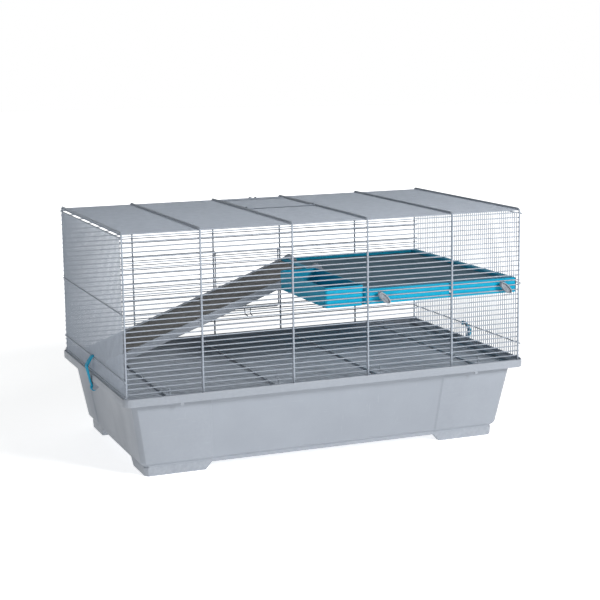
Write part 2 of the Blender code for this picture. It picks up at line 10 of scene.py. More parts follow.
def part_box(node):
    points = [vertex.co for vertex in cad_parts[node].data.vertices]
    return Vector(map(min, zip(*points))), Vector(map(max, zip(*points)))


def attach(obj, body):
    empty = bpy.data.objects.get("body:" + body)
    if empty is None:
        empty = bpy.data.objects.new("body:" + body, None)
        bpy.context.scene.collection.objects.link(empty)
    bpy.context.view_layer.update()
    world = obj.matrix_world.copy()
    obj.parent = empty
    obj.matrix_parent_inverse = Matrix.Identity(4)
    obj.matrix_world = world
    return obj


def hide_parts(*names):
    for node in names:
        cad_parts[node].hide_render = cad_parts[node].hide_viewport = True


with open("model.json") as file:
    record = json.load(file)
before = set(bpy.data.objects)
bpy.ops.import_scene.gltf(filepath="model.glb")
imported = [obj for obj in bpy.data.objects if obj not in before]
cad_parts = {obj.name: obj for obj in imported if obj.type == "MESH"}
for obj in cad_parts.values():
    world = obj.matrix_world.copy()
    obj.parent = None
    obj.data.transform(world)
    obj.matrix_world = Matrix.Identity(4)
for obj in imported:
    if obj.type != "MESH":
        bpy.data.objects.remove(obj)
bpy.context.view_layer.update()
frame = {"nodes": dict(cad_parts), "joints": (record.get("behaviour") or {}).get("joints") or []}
draw = random.Random(41)   # small differences between wires, bricks and planks
print("frame loaded:", len(frame["nodes"]), "nodes")


# colours and node groups
def paint(red, green, blue):
    # a 0-255 display colour as the linear one that Blender's sockets take
    linear = []
    for value in (red, green, blue):
        share = value / 255
        linear.append(share / 12.92 if share <= 0.04045 else ((share + 0.055) / 1.055) ** 2.4)
    return (*linear, 1.0)


def addNode(tree, kind, inputs=None, **settings):
    made = tree.nodes.new(kind)
    for name, value in settings.items():
        setattr(made, name, value)
    for name, value in (inputs or {}).items():
        if isinstance(value, bpy.types.NodeSocket):
            tree.links.new(value, made.inputs[name])
        else:
            made.inputs[name].default_value = value
    return made


def mathNode(tree, operation, first, second=0.0, clamp=False):
    made = addNode(tree, "ShaderNodeMath", {0: first, 1: second}, operation=operation, use_clamp=clamp)
    return made.outputs[0]


def mixColour(tree, factor, first, second):
    made = addNode(tree, "ShaderNodeMix", {0: factor, 6: first, 7: second}, data_type="RGBA")
    return made.outputs[2]


def rangeNode(tree, value, low, high, toLow=0.0, toHigh=1.0):
    inputs = {"Value": value, "From Min": low, "From Max": high, "To Min": toLow, "To Max": toHigh}
    return addNode(tree, "ShaderNodeMapRange", inputs).outputs["Result"]


def noiseNode(tree, where, scale, detail=2.0, stretch=None):
    if stretch:
        where = addNode(tree, "ShaderNodeMapping", {"Vector": where, "Scale": stretch}).outputs[0]
    inputs = {"Vector": where, "Scale": scale, "Detail": detail}
    return addNode(tree, "ShaderNodeTexNoise", inputs).outputs["Fac"]


def newGroup(name, inputs, outputs):
    # a socket's kind is f for a number and c for a colour
    group = bpy.data.node_groups.new(name, "ShaderNodeTree")
    kinds = {"f": "NodeSocketFloat", "c": "NodeSocketColor"}
    for label, kind, value in inputs:
        socket = group.interface.new_socket(label, in_out="INPUT", socket_type=kinds[kind])
        socket.default_value = value
    for label, kind in outputs:
        group.interface.new_socket(label, in_out="OUTPUT", socket_type=kinds[kind])
    given = group.nodes.new("NodeGroupInput").outputs
    return group, given, addNode(group, "ShaderNodeTexCoord").outputs["Object"]


def endGroup(group, **values):
    result = group.nodes.new("NodeGroupOutput").inputs
    for name, value in values.items():
        group.links.new(value, result[name])
    return group


def makeMouldGrain():
    # fine spark-eroded texture of a moulding, and its slow drift in tone
    group, given, where = newGroup("mouldGrain", [("Scale", "f", 900.0)], [("Height", "f"), ("Tone", "f")])
    fine = noiseNode(group, where, given["Scale"], 3.0)
    slow = noiseNode(group, where, mathNode(group, "MULTIPLY", given["Scale"], 0.012), 4.0)
    return endGroup(group, Height=fine, Tone=slow)


def makeEdgeWear():
    # corners and edges rubbed to a paler colour, broken up by noise
    group, given, where = newGroup(
        "edgeWear",
        [("Colour", "c", (0.5, 0.5, 0.5, 1)), ("Worn", "c", (0.8, 0.8, 0.8, 1)), ("Amount", "f", 0.5),
         ("Start", "f", 0.51), ("Full", "f", 0.58)],
        [("Colour", "c"), ("Mask", "f")])
    point = addNode(group, "ShaderNodeNewGeometry").outputs["Pointiness"]
    edge = rangeNode(group, point, given["Start"], given["Full"])
    patchy = rangeNode(group, noiseNode(group, where, 160.0, 4.0), 0.35, 0.65)
    mask = mathNode(group, "MULTIPLY", mathNode(group, "MULTIPLY", edge, patchy), given["Amount"], True)
    return endGroup(group, Colour=mixColour(group, mask, given["Colour"], given["Worn"]), Mask=mask)


def makeDustFilm():
    # dust that settles on what faces up
    group, given, where = newGroup(
        "dustFilm",
        [("Colour", "c", (0.5, 0.5, 0.5, 1)), ("Dust", "c", (0.6, 0.58, 0.55, 1)), ("Amount", "f", 0.2)],
        [("Colour", "c"), ("Mask", "f")])
    normal = addNode(group, "ShaderNodeNewGeometry").outputs["Normal"]
    up = addNode(group, "ShaderNodeSeparateXYZ", {0: normal}).outputs[2]
    facing = rangeNode(group, up, 0.55, 1.0)
    patchy = rangeNode(group, noiseNode(group, where, 45.0, 5.0), 0.3, 0.75)
    mask = mathNode(group, "MULTIPLY", mathNode(group, "MULTIPLY", facing, patchy), given["Amount"], True)
    return endGroup(group, Colour=mixColour(group, mask, given["Colour"], given["Dust"]), Mask=mask)


def makeScuffs():
    # sparse hair scratches in two directions
    group, given, where = newGroup("scuffs", [("Scale", "f", 30.0), ("Amount", "f", 0.5)], [("Mask", "f")])
    both = [rangeNode(group, noiseNode(group, where, given["Scale"], 3.0, stretch), 0.67, 0.72)
            for stretch in ((1.0, 1.0, 16.0), (9.0, 5.0, 1.2))]
    total = mathNode(group, "MAXIMUM", *both)
    return endGroup(group, Mask=mathNode(group, "MULTIPLY", total, given["Amount"], True))


def makeOrangePeel():
    # the soft dimples of baked powder paint, and thin spots in it
    group, given, where = newGroup("orangePeel", [("Scale", "f", 700.0)], [("Height", "f"), ("Thin", "f")])
    dimples = noiseNode(group, where, given["Scale"], 1.0)
    thin = rangeNode(group, noiseNode(group, where, 70.0, 4.0), 0.35, 0.75)
    return endGroup(group, Height=dimples, Thin=thin)


groups = {
    "grain": makeMouldGrain(), "wear": makeEdgeWear(), "dust": makeDustFilm(),
    "scuffs": makeScuffs(), "peel": makeOrangePeel(),
}


def placeGroup(tree, key, **inputs):
    return addNode(tree, "ShaderNodeGroup", inputs, node_tree=groups[key]).outputs


def newMaterial(name):
    material = bpy.data.materials.new(name)
    material.use_nodes = True
    tree = material.node_tree
    return material, tree, tree.nodes["Principled BSDF"]


def feedShader(tree, shader, colour, rough, height, strength, distance):
    bump = addNode(tree, "ShaderNodeBump", {"Height": height, "Strength": strength, "Distance": distance})
    tree.links.new(colour, shader.inputs["Base Color"])
    tree.links.new(rough, shader.inputs["Roughness"])
    tree.links.new(bump.outputs[0], shader.inputs["Normal"])


plainPlastic = {"scuffScale": 30.0, "shine": 0.5}


def plasticFinish(name, finish):
    # a moulded plastic: finish names its colours, gloss, grain, dust and wear
    finish = {**plainPlastic, **finish}
    material, tree, shader = newMaterial(name)
    grain = placeGroup(tree, "grain", Scale=finish["grainScale"])
    drift = rangeNode(tree, grain["Tone"], 0.35, 0.65, 0.0, finish["drift"])
    colour = mixColour(tree, drift, finish["colour"], finish["deeper"])
    scuff = placeGroup(tree, "scuffs", Scale=finish["scuffScale"], Amount=finish["scuffs"])["Mask"]
    colour = mixColour(tree, scuff, colour, finish["worn"])
    wear = placeGroup(tree, "wear", Colour=colour, Worn=finish["worn"], Amount=finish["wear"])
    dust = placeGroup(tree, "dust", Colour=wear["Colour"], Dust=finish["dustColour"], Amount=finish["dust"])
    rough = rangeNode(tree, grain["Tone"], 0.3, 0.7, finish["gloss"] - 0.05, finish["gloss"] + 0.06)
    rough = mathNode(tree, "ADD", rough, mathNode(tree, "MULTIPLY", dust["Mask"], 0.35))
    rough = mathNode(tree, "ADD", rough, mathNode(tree, "MULTIPLY", scuff, 0.2), True)
    height = mathNode(tree, "SUBTRACT", grain["Height"], mathNode(tree, "MULTIPLY", scuff, 0.8))
    feedShader(tree, shader, dust["Colour"], rough, height, finish["bump"], 0.0002)
    shader.inputs["Specular IOR Level"].default_value = finish["shine"]
    return material


def wireFinish(name, finish):
    # powder-painted steel wire
    material, tree, shader = newMaterial(name)
    peel = placeGroup(tree, "peel", Scale=finish["peelScale"])
    thin = mathNode(tree, "MULTIPLY", peel["Thin"], finish["drift"])
    colour = mixColour(tree, thin, finish["colour"], finish["deeper"])
    dust = placeGroup(tree, "dust", Colour=colour, Dust=finish["dustColour"], Amount=finish["dust"])
    rough = rangeNode(tree, peel["Thin"], 0.0, 1.0, finish["gloss"] - 0.04, finish["gloss"] + 0.08)
    rough = mathNode(tree, "ADD", rough, mathNode(tree, "MULTIPLY", dust["Mask"], 0.3), True)
    feedShader(tree, shader, dust["Colour"], rough, peel["Height"], 0.35, 0.00012)
    return material


# mesh helpers
def mm(*values):
    return values[0] / 1000 if len(values) == 1 else tuple(value / 1000 for value in values)


def roundedPath(points, radius, steps=5):
    # the same path with each inner corner turned into a short curve
    points = [Vector(point) for point in points]
    path = [points[0]]
    for before, corner, after in zip(points, points[1:], points[2:]):
        reach = min(radius, (before - corner).length * 0.49, (after - corner).length * 0.49)
        start = corner + (before - corner).normalized() * reach
        end = corner + (after - corner).normalized() * reach
        for step in range(steps + 1):
            share = step / steps
            path.append(start.lerp(corner, share).lerp(corner.lerp(end, share), share))
    path.append(points[-1])
    return path


def sweep(bm, path, section, closed=False, sizes=None):
    # carries a flat section, a list of (side, up) pairs, along a path
    path = [Vector(point) for point in path]
    count = len(path)
    rings = []
    side = None
    for i, point in enumerate(path):
        before = path[i - 1] if closed or i else path[0]
        after = path[(i + 1) % count] if closed or i < count - 1 else path[-1]
        along = (after - before).normalized()
        if side is None:
            side = along.cross(Vector((0, 1, 0)))
            side = side.normalized() if side.length > 0.1 else along.orthogonal().normalized()
        side = (side - along * side.dot(along)).normalized()
        up = along.cross(side)
        size = sizes[i] if sizes else 1.0
        rings.append([point + side * a * size + up * b * size for a, b in section])
    stack(bm, rings, closed)


def circle(radius, sides):
    return [(radius * math.cos(2 * math.pi * i / sides), radius * math.sin(2 * math.pi * i / sides))
            for i in range(sides)]


def wire(bm, path, radius, sides=10, closed=False):
    # a round wire, with slightly rounded cut ends
    path = [Vector(point) for point in path]
    if closed:
        sweep(bm, path, circle(radius, sides), closed=True)
        return
    start = (path[1] - path[0]).normalized() * radius * 0.35
    end = (path[-2] - path[-1]).normalized() * radius * 0.35
    path = [path[0], path[0] + start] + path[1:-1] + [path[-1] + end, path[-1]]
    sweep(bm, path, circle(radius, sides), sizes=[0.68] + [1.0] * (len(path) - 2) + [0.68])


def bead(bm, at, size):
    # the small swelling of a spot weld
    grow = Matrix.Translation(at) @ Matrix.Diagonal((*size, 1))
    bmesh.ops.create_uvsphere(bm, u_segments=6, v_segments=4, radius=1.0, matrix=grow)


def stack(bm, rings, closed=False):
    # joins rings of equal length, listed so that the skin faces out, and caps its ends unless closed
    rings = [[bm.verts.new(point) for point in ring] for ring in rings]
    count = len(rings[0])
    for lower, upper in zip(rings, rings[1:] + rings[:1] if closed else rings[1:]):
        for i in range(count):
            j = (i + 1) % count
            bm.faces.new((lower[i], lower[j], upper[j], upper[i]))
    if not closed:
        bm.faces.new(rings[0][::-1])
        bm.faces.new(rings[-1])


def allQuarters(quarter, centre=(0.0, 0.0)):
    points = list(quarter)
    points += [(-x, y) for x, y in reversed(quarter)]
    points += [(-x, -y) for x, y in quarter]
    points += [(x, -y) for x, y in reversed(quarter)]
    return [(x + centre[0], y + centre[1]) for x, y in points]


def arc(centre, radius, fromDegrees, toDegrees, steps):
    turns = [math.radians(fromDegrees + (toDegrees - fromDegrees) * i / steps) for i in range(steps + 1)]
    return [(centre[0] + radius * math.cos(turn), centre[1] + radius * math.sin(turn)) for turn in turns]


def roundRing(half, radius, z, centre=(0.0, 0.0), steps=6):
    corner = arc((half[0] - radius, half[1] - radius), radius, 0, 90, steps)
    return [(x, y, z) for x, y in allQuarters(corner, centre)]


def block(bm, low, high, chamfer):
    # a block with chamfered upper edges
    rings = []
    for z, inset in ((low[2], 0.0), (high[2] - chamfer, 0.0), (high[2], chamfer)):
        rings.append([(low[0] + inset, low[1] + inset, z), (high[0] - inset, low[1] + inset, z),
                      (high[0] - inset, high[1] - inset, z), (low[0] + inset, high[1] - inset, z)])
    stack(bm, rings)


def prism(bm, outline, low, high):
    # an (x, z) outline, anticlockwise from the front, drawn out along y
    stack(bm, [[(x, high, z) for x, z in outline], [(x, low, z) for x, z in outline]])


def meshFrom(name, bm):
    mesh = bpy.data.meshes.new(name)
    bm.to_mesh(mesh)
    bm.free()
    return mesh


def newObject(name, data):
    made = bpy.data.objects.new(name, data)
    bpy.context.scene.collection.objects.link(made)
    return made


def addPiece(name, bm, material, body, nodes=(), sharp=40, edge=0.0):
    bmesh.ops.recalc_face_normals(bm, faces=bm.faces)
    mesh = meshFrom(name, bm)
    mesh.materials.append(material)
    mesh.shade_smooth()
    mesh.set_sharp_from_angle(angle=math.radians(sharp))
    piece = newObject(name, mesh)
    if edge:
        bevel = piece.modifiers.new("edges", "BEVEL")
        bevel.width = edge
        bevel.segments = 3
        bevel.limit_method = "ANGLE"
        bevel.angle_limit = math.radians(30)
        bevel.harden_normals = True
    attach(piece, body)
    if nodes:
        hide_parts(*nodes)


def cutHoles(bm, holes, low, high):
    # bores round holes, (x, z, radius), along y through a closed mesh
    sides = 28
    drills = bmesh.new()
    for x, z, radius in holes:
        prism(drills, arc((x, z), radius, 0, 360 - 360 / sides, sides - 1), low, high)
    bmesh.ops.recalc_face_normals(drills, faces=drills.faces)
    blank = newObject("blank", meshFrom("blank", bm))
    drill = newObject("drills", meshFrom("drills", drills))
    cut = blank.modifiers.new("cut", "BOOLEAN")
    cut.operation = "DIFFERENCE"
    cut.object = drill
    bpy.context.view_layer.update()
    evaluated = blank.evaluated_get(bpy.context.evaluated_depsgraph_get())
    done = bmesh.new()
    done.from_mesh(evaluated.to_mesh())
    for obj in (blank, drill):
        bpy.data.objects.remove(obj)
    return done


def jointAt(name):
    return Vector(next(joint["pos_m"] for joint in frame["joints"] if joint["name"] == name))


# studio
studio = {
    "cameraAt": (-1.0204, -2.6287, 0.7631),
    "turn": -21.735, "tilt": 10.077, "roll": -0.713, "lens": 87.92,
    "keyTurn": 26.0, "keyHeight": 25.0, "keyAway": 3.6, "keySize": 0.9, "keyPower": 88.0,
    "fillTurn": -24.0, "fillHeight": 6.0, "fillAway": 3.4, "fillSize": 1.6, "fillPower": 16.0,
    "aim": 0.2, "backdrop": 1.0, "room": 0.10, "behind": 0.7,
    "floorGlow": 0.52, "floorSeen": 1.32, "floorEdge": (1.0, 2.2),
}


def makeCamera():
    turn, tilt, roll = (math.radians(studio[key]) for key in ("turn", "tilt", "roll"))
    back = Vector((math.sin(turn) * math.cos(tilt), -math.cos(turn) * math.cos(tilt), math.sin(tilt)))
    right = Vector((0, 0, 1)).cross(back).normalized()
    up = back.cross(right)
    leaned = (right * math.cos(roll) + up * math.sin(roll),
              up * math.cos(roll) - right * math.sin(roll), back)
    data = bpy.data.cameras.new("camera")
    data.lens = studio["lens"]
    data.sensor_width = 36
    camera = newObject("camera", data)
    camera.matrix_world = Matrix.Translation(studio["cameraAt"]) @ Matrix(leaned).transposed().to_4x4()
    bpy.context.scene.camera = camera


def makeLights():
    for name in ("key", "fill"):
        turn, height = math.radians(studio[name + "Turn"]), math.radians(studio[name + "Height"])
        away = studio[name + "Away"]
        at = Vector((math.sin(turn) * math.cos(height) * away, -math.cos(turn) * math.cos(height) * away,
                     math.sin(height) * away + studio["aim"]))
        data = bpy.data.lights.new(name + "Light", "AREA")
        data.shape = "DISK"
        data.size = studio[name + "Size"]
        data.energy = studio[name + "Power"]
        light = newObject(name + "Light", data)
        light.location = at
        light.rotation_euler = (Vector((0, 0, studio["aim"])) - at).to_track_quat("-Z", "Y").to_euler()
    world = bpy.data.worlds.new("softRoom")
    world.use_nodes = True
    tree = world.node_tree
    tree.nodes.clear()
    seen = addNode(tree, "ShaderNodeBackground", {"Color": (1, 1, 1, 1), "Strength": studio["backdrop"]})
    toward = addNode(tree, "ShaderNodeTexCoord").outputs["Generated"]
    toward = addNode(tree, "ShaderNodeSeparateXYZ", {0: toward}).outputs
    behind = rangeNode(tree, toward[1], 0.1, 0.8, studio["room"], studio["behind"])
    lit = addNode(tree, "ShaderNodeBackground", {"Color": (0.95, 0.98, 1, 1), "Strength": behind})
    path = addNode(tree, "ShaderNodeLightPath").outputs["Is Camera Ray"]
    mixed = addNode(tree, "ShaderNodeMixShader", {0: path, 1: lit.outputs[0], 2: seen.outputs[0]})
    addNode(tree, "ShaderNodeOutputWorld", {"Surface": mixed.outputs[0]})
    bpy.context.scene.world = world
    bpy.context.scene.view_settings.view_transform = "Standard"


def makeFloor():
    bm = bmesh.new()
    bmesh.ops.create_circle(bm, cap_ends=True, segments=64, radius=14)
    mesh = meshFrom("floor", bm)
    material, tree, shader = newMaterial("floorPaper")
    where = addNode(tree, "ShaderNodeTexCoord").outputs["Object"]
    tone = rangeNode(tree, noiseNode(tree, where, 3.0), 0.3, 0.7, 0.93, 0.95)
    tree.links.new(addNode(tree, "ShaderNodeCombineColor", {0: tone, 1: tone, 2: tone}).outputs[0],
                   shader.inputs["Base Color"])
    shader.inputs["Roughness"].default_value = 0.9
    shader.inputs["Specular IOR Level"].default_value = 0.1
    # the paper glows a little, and more further out, so that it meets the backdrop without an edge
    away = addNode(tree, "ShaderNodeVectorMath", {0: where}, operation="LENGTH").outputs["Value"]
    glow = rangeNode(tree, away, *studio["floorEdge"], studio["floorGlow"], 1.0)
    seen = addNode(tree, "ShaderNodeLightPath").outputs["Is Camera Ray"]
    glow = mathNode(tree, "MULTIPLY", glow, rangeNode(tree, seen, 0, 1, 1, studio["floorSeen"]))
    tree.links.new(addNode(tree, "ShaderNodeCombineColor", {0: glow, 1: glow, 2: glow}).outputs[0],
                   shader.inputs["Emission Color"])
    shader.inputs["Emission Strength"].default_value = 1.0
    mesh.materials.append(material)
    newObject("floor", mesh)


makeCamera()
makeLights()
makeFloor()
print("studio ready")


# tray
tray = {
    "node": "base_tray", "wall": 3.0, "recess": 2.5, "lip": 2.5, "ledgeInset": (16.5, 14.5),
    "stepTop": 141.0, "underLedge": 3.0, "wallTop": (376.0, 218.0), "wallFoot": (356.0, 198.0),
    "wallTopZ": 138.0, "wallFootZ": 19.5, "post": (228.0, 120.0), "postTop": (232.0, 124.0),
    "postFoot": (223.0, 116.0), "postSlope": 2.4, "facet": 8.0, "innerFacet": 6.8, "fillet": 3.0,
    "band": ((10.5, 13.5), (6.0, 13.5), (5.5, 14.0), (5.3, 20.1), (5.8, 20.6)),   # inset and height
    "coveBend": 6.2, "coveTop": 27.2,
    # heights on the wall, with the share of the recess that is left there
    "outside": ((60.0, 1), (100.0, 1), (127.0, 1), (129.5, 0.85), (131.5, 0.5), (133.5, 0.12), (135.0, 0)),
    "inside": ((134.0, 0), (130.0, 1), (60.0, 1), (26.0, 1)),
    "floorBend": (6.0, 8.5), "wallEdge": {"z": 137.2, "leg": 9.0, "fillet": 4.0},
    # an outline, its corner radius and (inset, height) steps: under the rim, over it and down to the ledge
    "rimProfile": (
        ("flare", 9.0, ((0, 138.3),)), ("step", 7.0, ((0, 139.4),)), ("step", 6.0, ((0, 145.9),)),
        ("skirt", 13.5, ((0.6, 146.5), (0, 145.9), (0, 140.6))),
        ("rim", 16.0, ((1.9, 140.0), (0.7, 140.0), (0.2, 140.3), (0, 140.9), (0, 153.4), (0.3, 154.1),
                       (0.9, 154.5), (1.7, 154.5), (2.3, 154.1), (2.6, 153.4), (2.7, 150.4), (3.0, 149.8),
                       (3.7, 149.5))),
        ("ledge", 4.0, ((-0.5, 149.5), (0, 149.0), (0, 141.4), (0.4, 141.0))),
    ),
    "footArm": (114.0, 78.0), "footWidth": 14.0, "footInset": 5.8, "footCut": 6.5, "footFillet": 4.0,
    # height, growth of the arms and draft
    "footSteps": ((0.0, 0.0, 1.3), (0.5, 0.5, 0.9), (1.2, 0.9, 0.7), (13.6, 12.0, 0.0), (16.0, 12.0, 0.0)),
    "lugRoot": ((379.5, 147.5), (379.5, 130.0)), "lugFront": ((393.6, 140.0), (393.0, 147.5)),
    "lugRound": 3.4, "lugSides": (6.5, 9.5), "lugBar": 2.6,
    "nubs": (-291.0, 291.0), "nubHalf": 3.0, "nubHeights": (142.0, 138.2, 138.0), "nubDepth": (0.5, 3.5),
    "finish": {
        "colour": paint(152, 158, 167), "deeper": paint(146, 152, 161), "worn": paint(186, 191, 198),
        "dustColour": paint(180, 178, 174), "drift": 0.5, "scuffs": 0.1, "wear": 0.25, "dust": 0.08,
        "gloss": 0.44, "grainScale": 1500.0, "bump": 0.08, "scuffScale": 22.0,
    },
}


def facetCorner(half, leg, fillet):
    # a corner cut flat at 45 degrees, with a small curve where it meets each side
    tangent = fillet * math.tan(math.radians(22.5))
    first = arc((half[0] - fillet, half[1] - leg - tangent), fillet, 0, 45, 3)
    return first + arc((half[0] - leg - tangent, half[1] - fillet), fillet, 45, 90, 3)


def trayRing(half, z, radius=None, recess=0.0, post=None, leg=None, fillet=None):
    # one outline of the tray in mm: its long stretches sit back by recess between the corner posts
    post, slope = post or tray["post"], tray["postSlope"]
    if radius is not None:
        corner = arc((half[0] - radius, half[1] - radius), radius, 0, 90, 7)
    else:
        corner = facetCorner(half, leg, fillet or tray["fillet"])
    eased = [(share, share * share * (3 - 2 * share)) for share in (0, 0.3, 0.7, 1)]
    quarter = [(half[0] - recess * (1 - ease), post[1] - slope + 2 * slope * share)
               for share, ease in eased]
    quarter += corner
    quarter += [(post[0] + slope - 2 * slope * share, half[1] - recess * ease) for share, ease in eased]
    return [mm(x, y, z) for x, y in allQuarters(quarter)]


def trayWall(z, inset=0.0, recess=0.0, leg=tray["facet"]):
    share = (z - tray["wallFootZ"]) / (tray["wallTopZ"] - tray["wallFootZ"])
    half = [low + (high - low) * share - inset for low, high in zip(tray["wallFoot"], tray["wallTop"])]
    post = [low + (high - low) * share for low, high in zip(tray["postFoot"], tray["postTop"])]
    return trayRing(half, z, recess=recess, post=post, leg=leg)


def trayRings(rim):
    # rim is the rim's half length and half depth; rings run up the outside, over the rim and down inside
    deep, thick, bend = tray["recess"], tray["wall"], tray["coveBend"]
    rings = [trayWall(z, inset) for inset, z in tray["band"]]
    for step in range(7):
        turn = math.radians(-66 + 66 * step / 6)
        rings.append(trayWall(tray["coveTop"] + bend * math.sin(turn), bend * (1 - math.cos(turn)),
                              deep * (0.75 + 0.25 * step / 6)))
    rings += [trayWall(z, 0.0, deep * share) for z, share in tray["outside"]]
    rings.append(trayRing(tray["wallTop"], **tray["wallEdge"]))
    ledge = [side - by for side, by in zip(rim, tray["ledgeInset"])]
    shelf = [side + tray["underLedge"] for side in ledge]
    outlines = {
        "rim": rim, "ledge": ledge, "step": shelf, "skirt": [side - tray["lip"] for side in rim],
        "flare": [(a + b) / 2 for a, b in zip(tray["wallTop"], shelf)],
    }
    for name, corner, steps in tray["rimProfile"]:
        for inset, z in steps:
            rings.append(trayRing([side - inset for side in outlines[name]], z, radius=corner - inset))
    leg, ease = tray["innerFacet"], 0.6
    rings.append(trayWall(tray["stepTop"], thick - ease, 0, leg))
    rings.append(trayWall(tray["stepTop"] - ease, thick, 0, leg))
    rings += [trayWall(z, thick, deep * share, leg) for z, share in tray["inside"]]
    foot = tray["inside"][-1][0]
    inward, down = tray["floorBend"]
    for step in range(1, 5):
        turn = math.radians(90 * step / 4)
        rings.append(trayWall(foot - down * math.sin(turn), thick + inward * (1 - math.cos(turn)),
                              deep * (1 - step / 5), leg))
    return rings


def addFeet(bm):
    # four L-shaped feet that run up into the band under the walls
    cornerX, cornerY = (side - tray["footInset"] for side in tray["wallFoot"])
    width, cut, fillet = tray["footWidth"], tray["footCut"], tray["footFillet"]
    for signX, signY in ((1, 1), (-1, 1), (-1, -1), (1, -1)):
        rings = []
        for z, grow, draft in tray["footSteps"]:
            armX, armY = (arm + grow for arm in tray["footArm"])
            x, y = cornerX - draft, cornerY - draft
            innerX, innerY = cornerX - width, cornerY - width
            points = [(x, y - cut), (x - cut, y), (cornerX - armX, y), (cornerX - armX, innerY),
                      (innerX - fillet, innerY), (innerX, innerY - fillet),
                      (innerX, cornerY - armY), (x, cornerY - armY)]
            ring = [mm(a * signX, b * signY, z) for a, b in points]
            rings.append(ring if signX == signY else ring[::-1])
        stack(bm, rings)


def addLugs(bm, pivot):
    # two ears and a round bar on each short side, where a clip turns
    near, far = mm(*tray["lugSides"])
    ear = [mm(*point) for point in tray["lugRoot"]]
    ear += arc((abs(pivot.x), pivot.z), mm(tray["lugRound"]), -120, 60, 8)
    ear += [mm(*point) for point in tray["lugFront"]]
    for side in (-1, 1):
        outline = [(side * x, z) for x, z in ear][::side]
        for low, high in ((-far, -near), (near, far)):
            prism(bm, outline, low, high)
        x, reach = side * pivot.x, mm(9.0)
        wire(bm, [(x, -reach, pivot.z), (x, reach, pivot.z)], mm(tray["lugBar"]), 16)


def addNubs(bm, rimY):
    # two stops under each long rim
    half = tray["nubHalf"]
    top, foot, centre = tray["nubHeights"]
    for x in tray["nubs"]:
        outline = [(x - half, top), (x - half, foot)] + arc((x, centre), half - 0.2, 190, 350, 6)
        outline += [(x + half, foot), (x + half, top)]
        for side in (-1, 1):
            near, far = sorted(side * (rimY - mm(depth)) for depth in tray["nubDepth"])
            prism(bm, [mm(*point) for point in outline], near, far)


def makeTray():
    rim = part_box(tray["node"])[1]
    bm = bmesh.new()
    stack(bm, trayRings((rim.x * 1000, rim.y * 1000)))
    addFeet(bm)
    addLugs(bm, jointAt("clip_right_hinge"))
    addNubs(bm, rim.y)
    addPiece("trayShell", bm, plasticFinish("trayPlastic", tray["finish"]), "base",
             [tray["node"]], sharp=32)


makeTray()
print("tray made")


# wire paint and the wire top
wirePaint = {
    "colour": paint(159, 167, 178), "deeper": paint(142, 150, 162), "dustColour": paint(162, 164, 166),
    "drift": 0.5, "dust": 0.1, "gloss": 0.52, "peelScale": 620.0,
}

cage = {
    "hoopRadius": 1.8, "wireRadius": 1.1, "endRadius": 0.92, "setDown": 0.35, "bend": 7.5,
    "hoopSteps": (0.0, 0.181, 0.403, 0.593, 0.816, 1.0), "overhang": 4.0, "wander": 0.05,
    "wallPitch": 9.2, "wallWires": 32, "roofPitch": 9.1427, "roofWires": 49,
    "endPitch": 8.33, "endWires": 52, "endHeights": (156.6, 184.4, 301.4, 434.6), "stub": 229.0,
    "roofDoorway": (26, 44), "backDoorway": (6, 21),
    "weld": (1.9, 1.5, 0.9), "endWeld": (0.8, 1.4, 1.5), "stubWeld": (0.9, 1.5, 1.7), "weldIn": 0.9,
}


def measureCage():
    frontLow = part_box("front_panel")[0]
    roofLow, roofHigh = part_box("roof_panel")
    radius = mm(cage["hoopRadius"])
    sizes = {
        "footZ": frontLow.z, "halfX": roofHigh.x - radius, "halfY": roofHigh.y - radius,
        "roofZ": (roofLow.z + roofHigh.z) / 2, "radius": radius,
    }
    sizes["hoops"] = [sizes["halfX"] * (2 * step - 1) for step in cage["hoopSteps"]]
    sizes["layer"] = mm(cage["hoopRadius"] + cage["wireRadius"] - cage["setDown"])
    return sizes


cageSize = measureCage()


def wallZ(number):
    return cageSize["footZ"] + mm(cage["wireRadius"] + cage["wallPitch"] * number)


def roofY(number):
    return mm(cage["roofPitch"]) * (number - (cage["roofWires"] - 1) / 2)


def underRoof(y):
    # where a lengthwise wire lies just inside the hoops, also where they bend into the walls
    bend, layer = mm(cage["bend"]), cageSize["layer"]
    start = cageSize["halfY"] - bend
    if abs(y) <= start:
        return y, cageSize["roofZ"] - layer
    turn = math.asin(min((abs(y) - start) / bend, 1.0))
    reach = bend - layer
    y = math.copysign(start + reach * math.sin(turn), y)
    return y, cageSize["roofZ"] - bend + reach * math.cos(turn)


def longWire(bm, y, z, runs, normal):
    # a wire along x with a slight wander between the hoops it is welded to
    along, across, deep = mm(*cage["weld"])
    size = (along, deep, across) if normal[0] else (along, across, deep)
    out = mm(cage["wireRadius"] * 0.75)
    for start, end in runs:
        points = [Vector((start, y, z))]
        held = [x for x in cageSize["hoops"] if start + 0.001 < x < end - 0.001]
        marks = [start] + held + [end]
        for left, right in zip(marks, marks[1:]):
            bow, lift = (mm(draw.gauss(0, cage["wander"])) for _ in range(2))
            aside, upward = normal[0] * bow + normal[1] * lift, normal[1] * bow - normal[0] * lift
            for share in (0.25, 0.5, 0.75) if right - left > 0.02 else ():
                swing = math.sin(math.pi * share)
                x = left + (right - left) * share
                points.append(Vector((x, y + aside * swing, z + upward * swing)))
            points.append(Vector((right, y, z)))
        wire(bm, points, mm(cage["wireRadius"]), 9)
        for x in held:
            bead(bm, (x, y + normal[0] * out, z + normal[1] * out), size)


def wallRuns(number, doorway):
    over = mm(cage["overhang"])
    whole = (-cageSize["halfX"] - over, cageSize["halfX"] + over)
    if doorway and doorway[0] < number < doorway[1]:
        edge = cageSize["radius"] + mm(0.2)
        return [(whole[0], cageSize["hoops"][2] + edge), (cageSize["hoops"][3] - edge, whole[1])]
    return [whole]


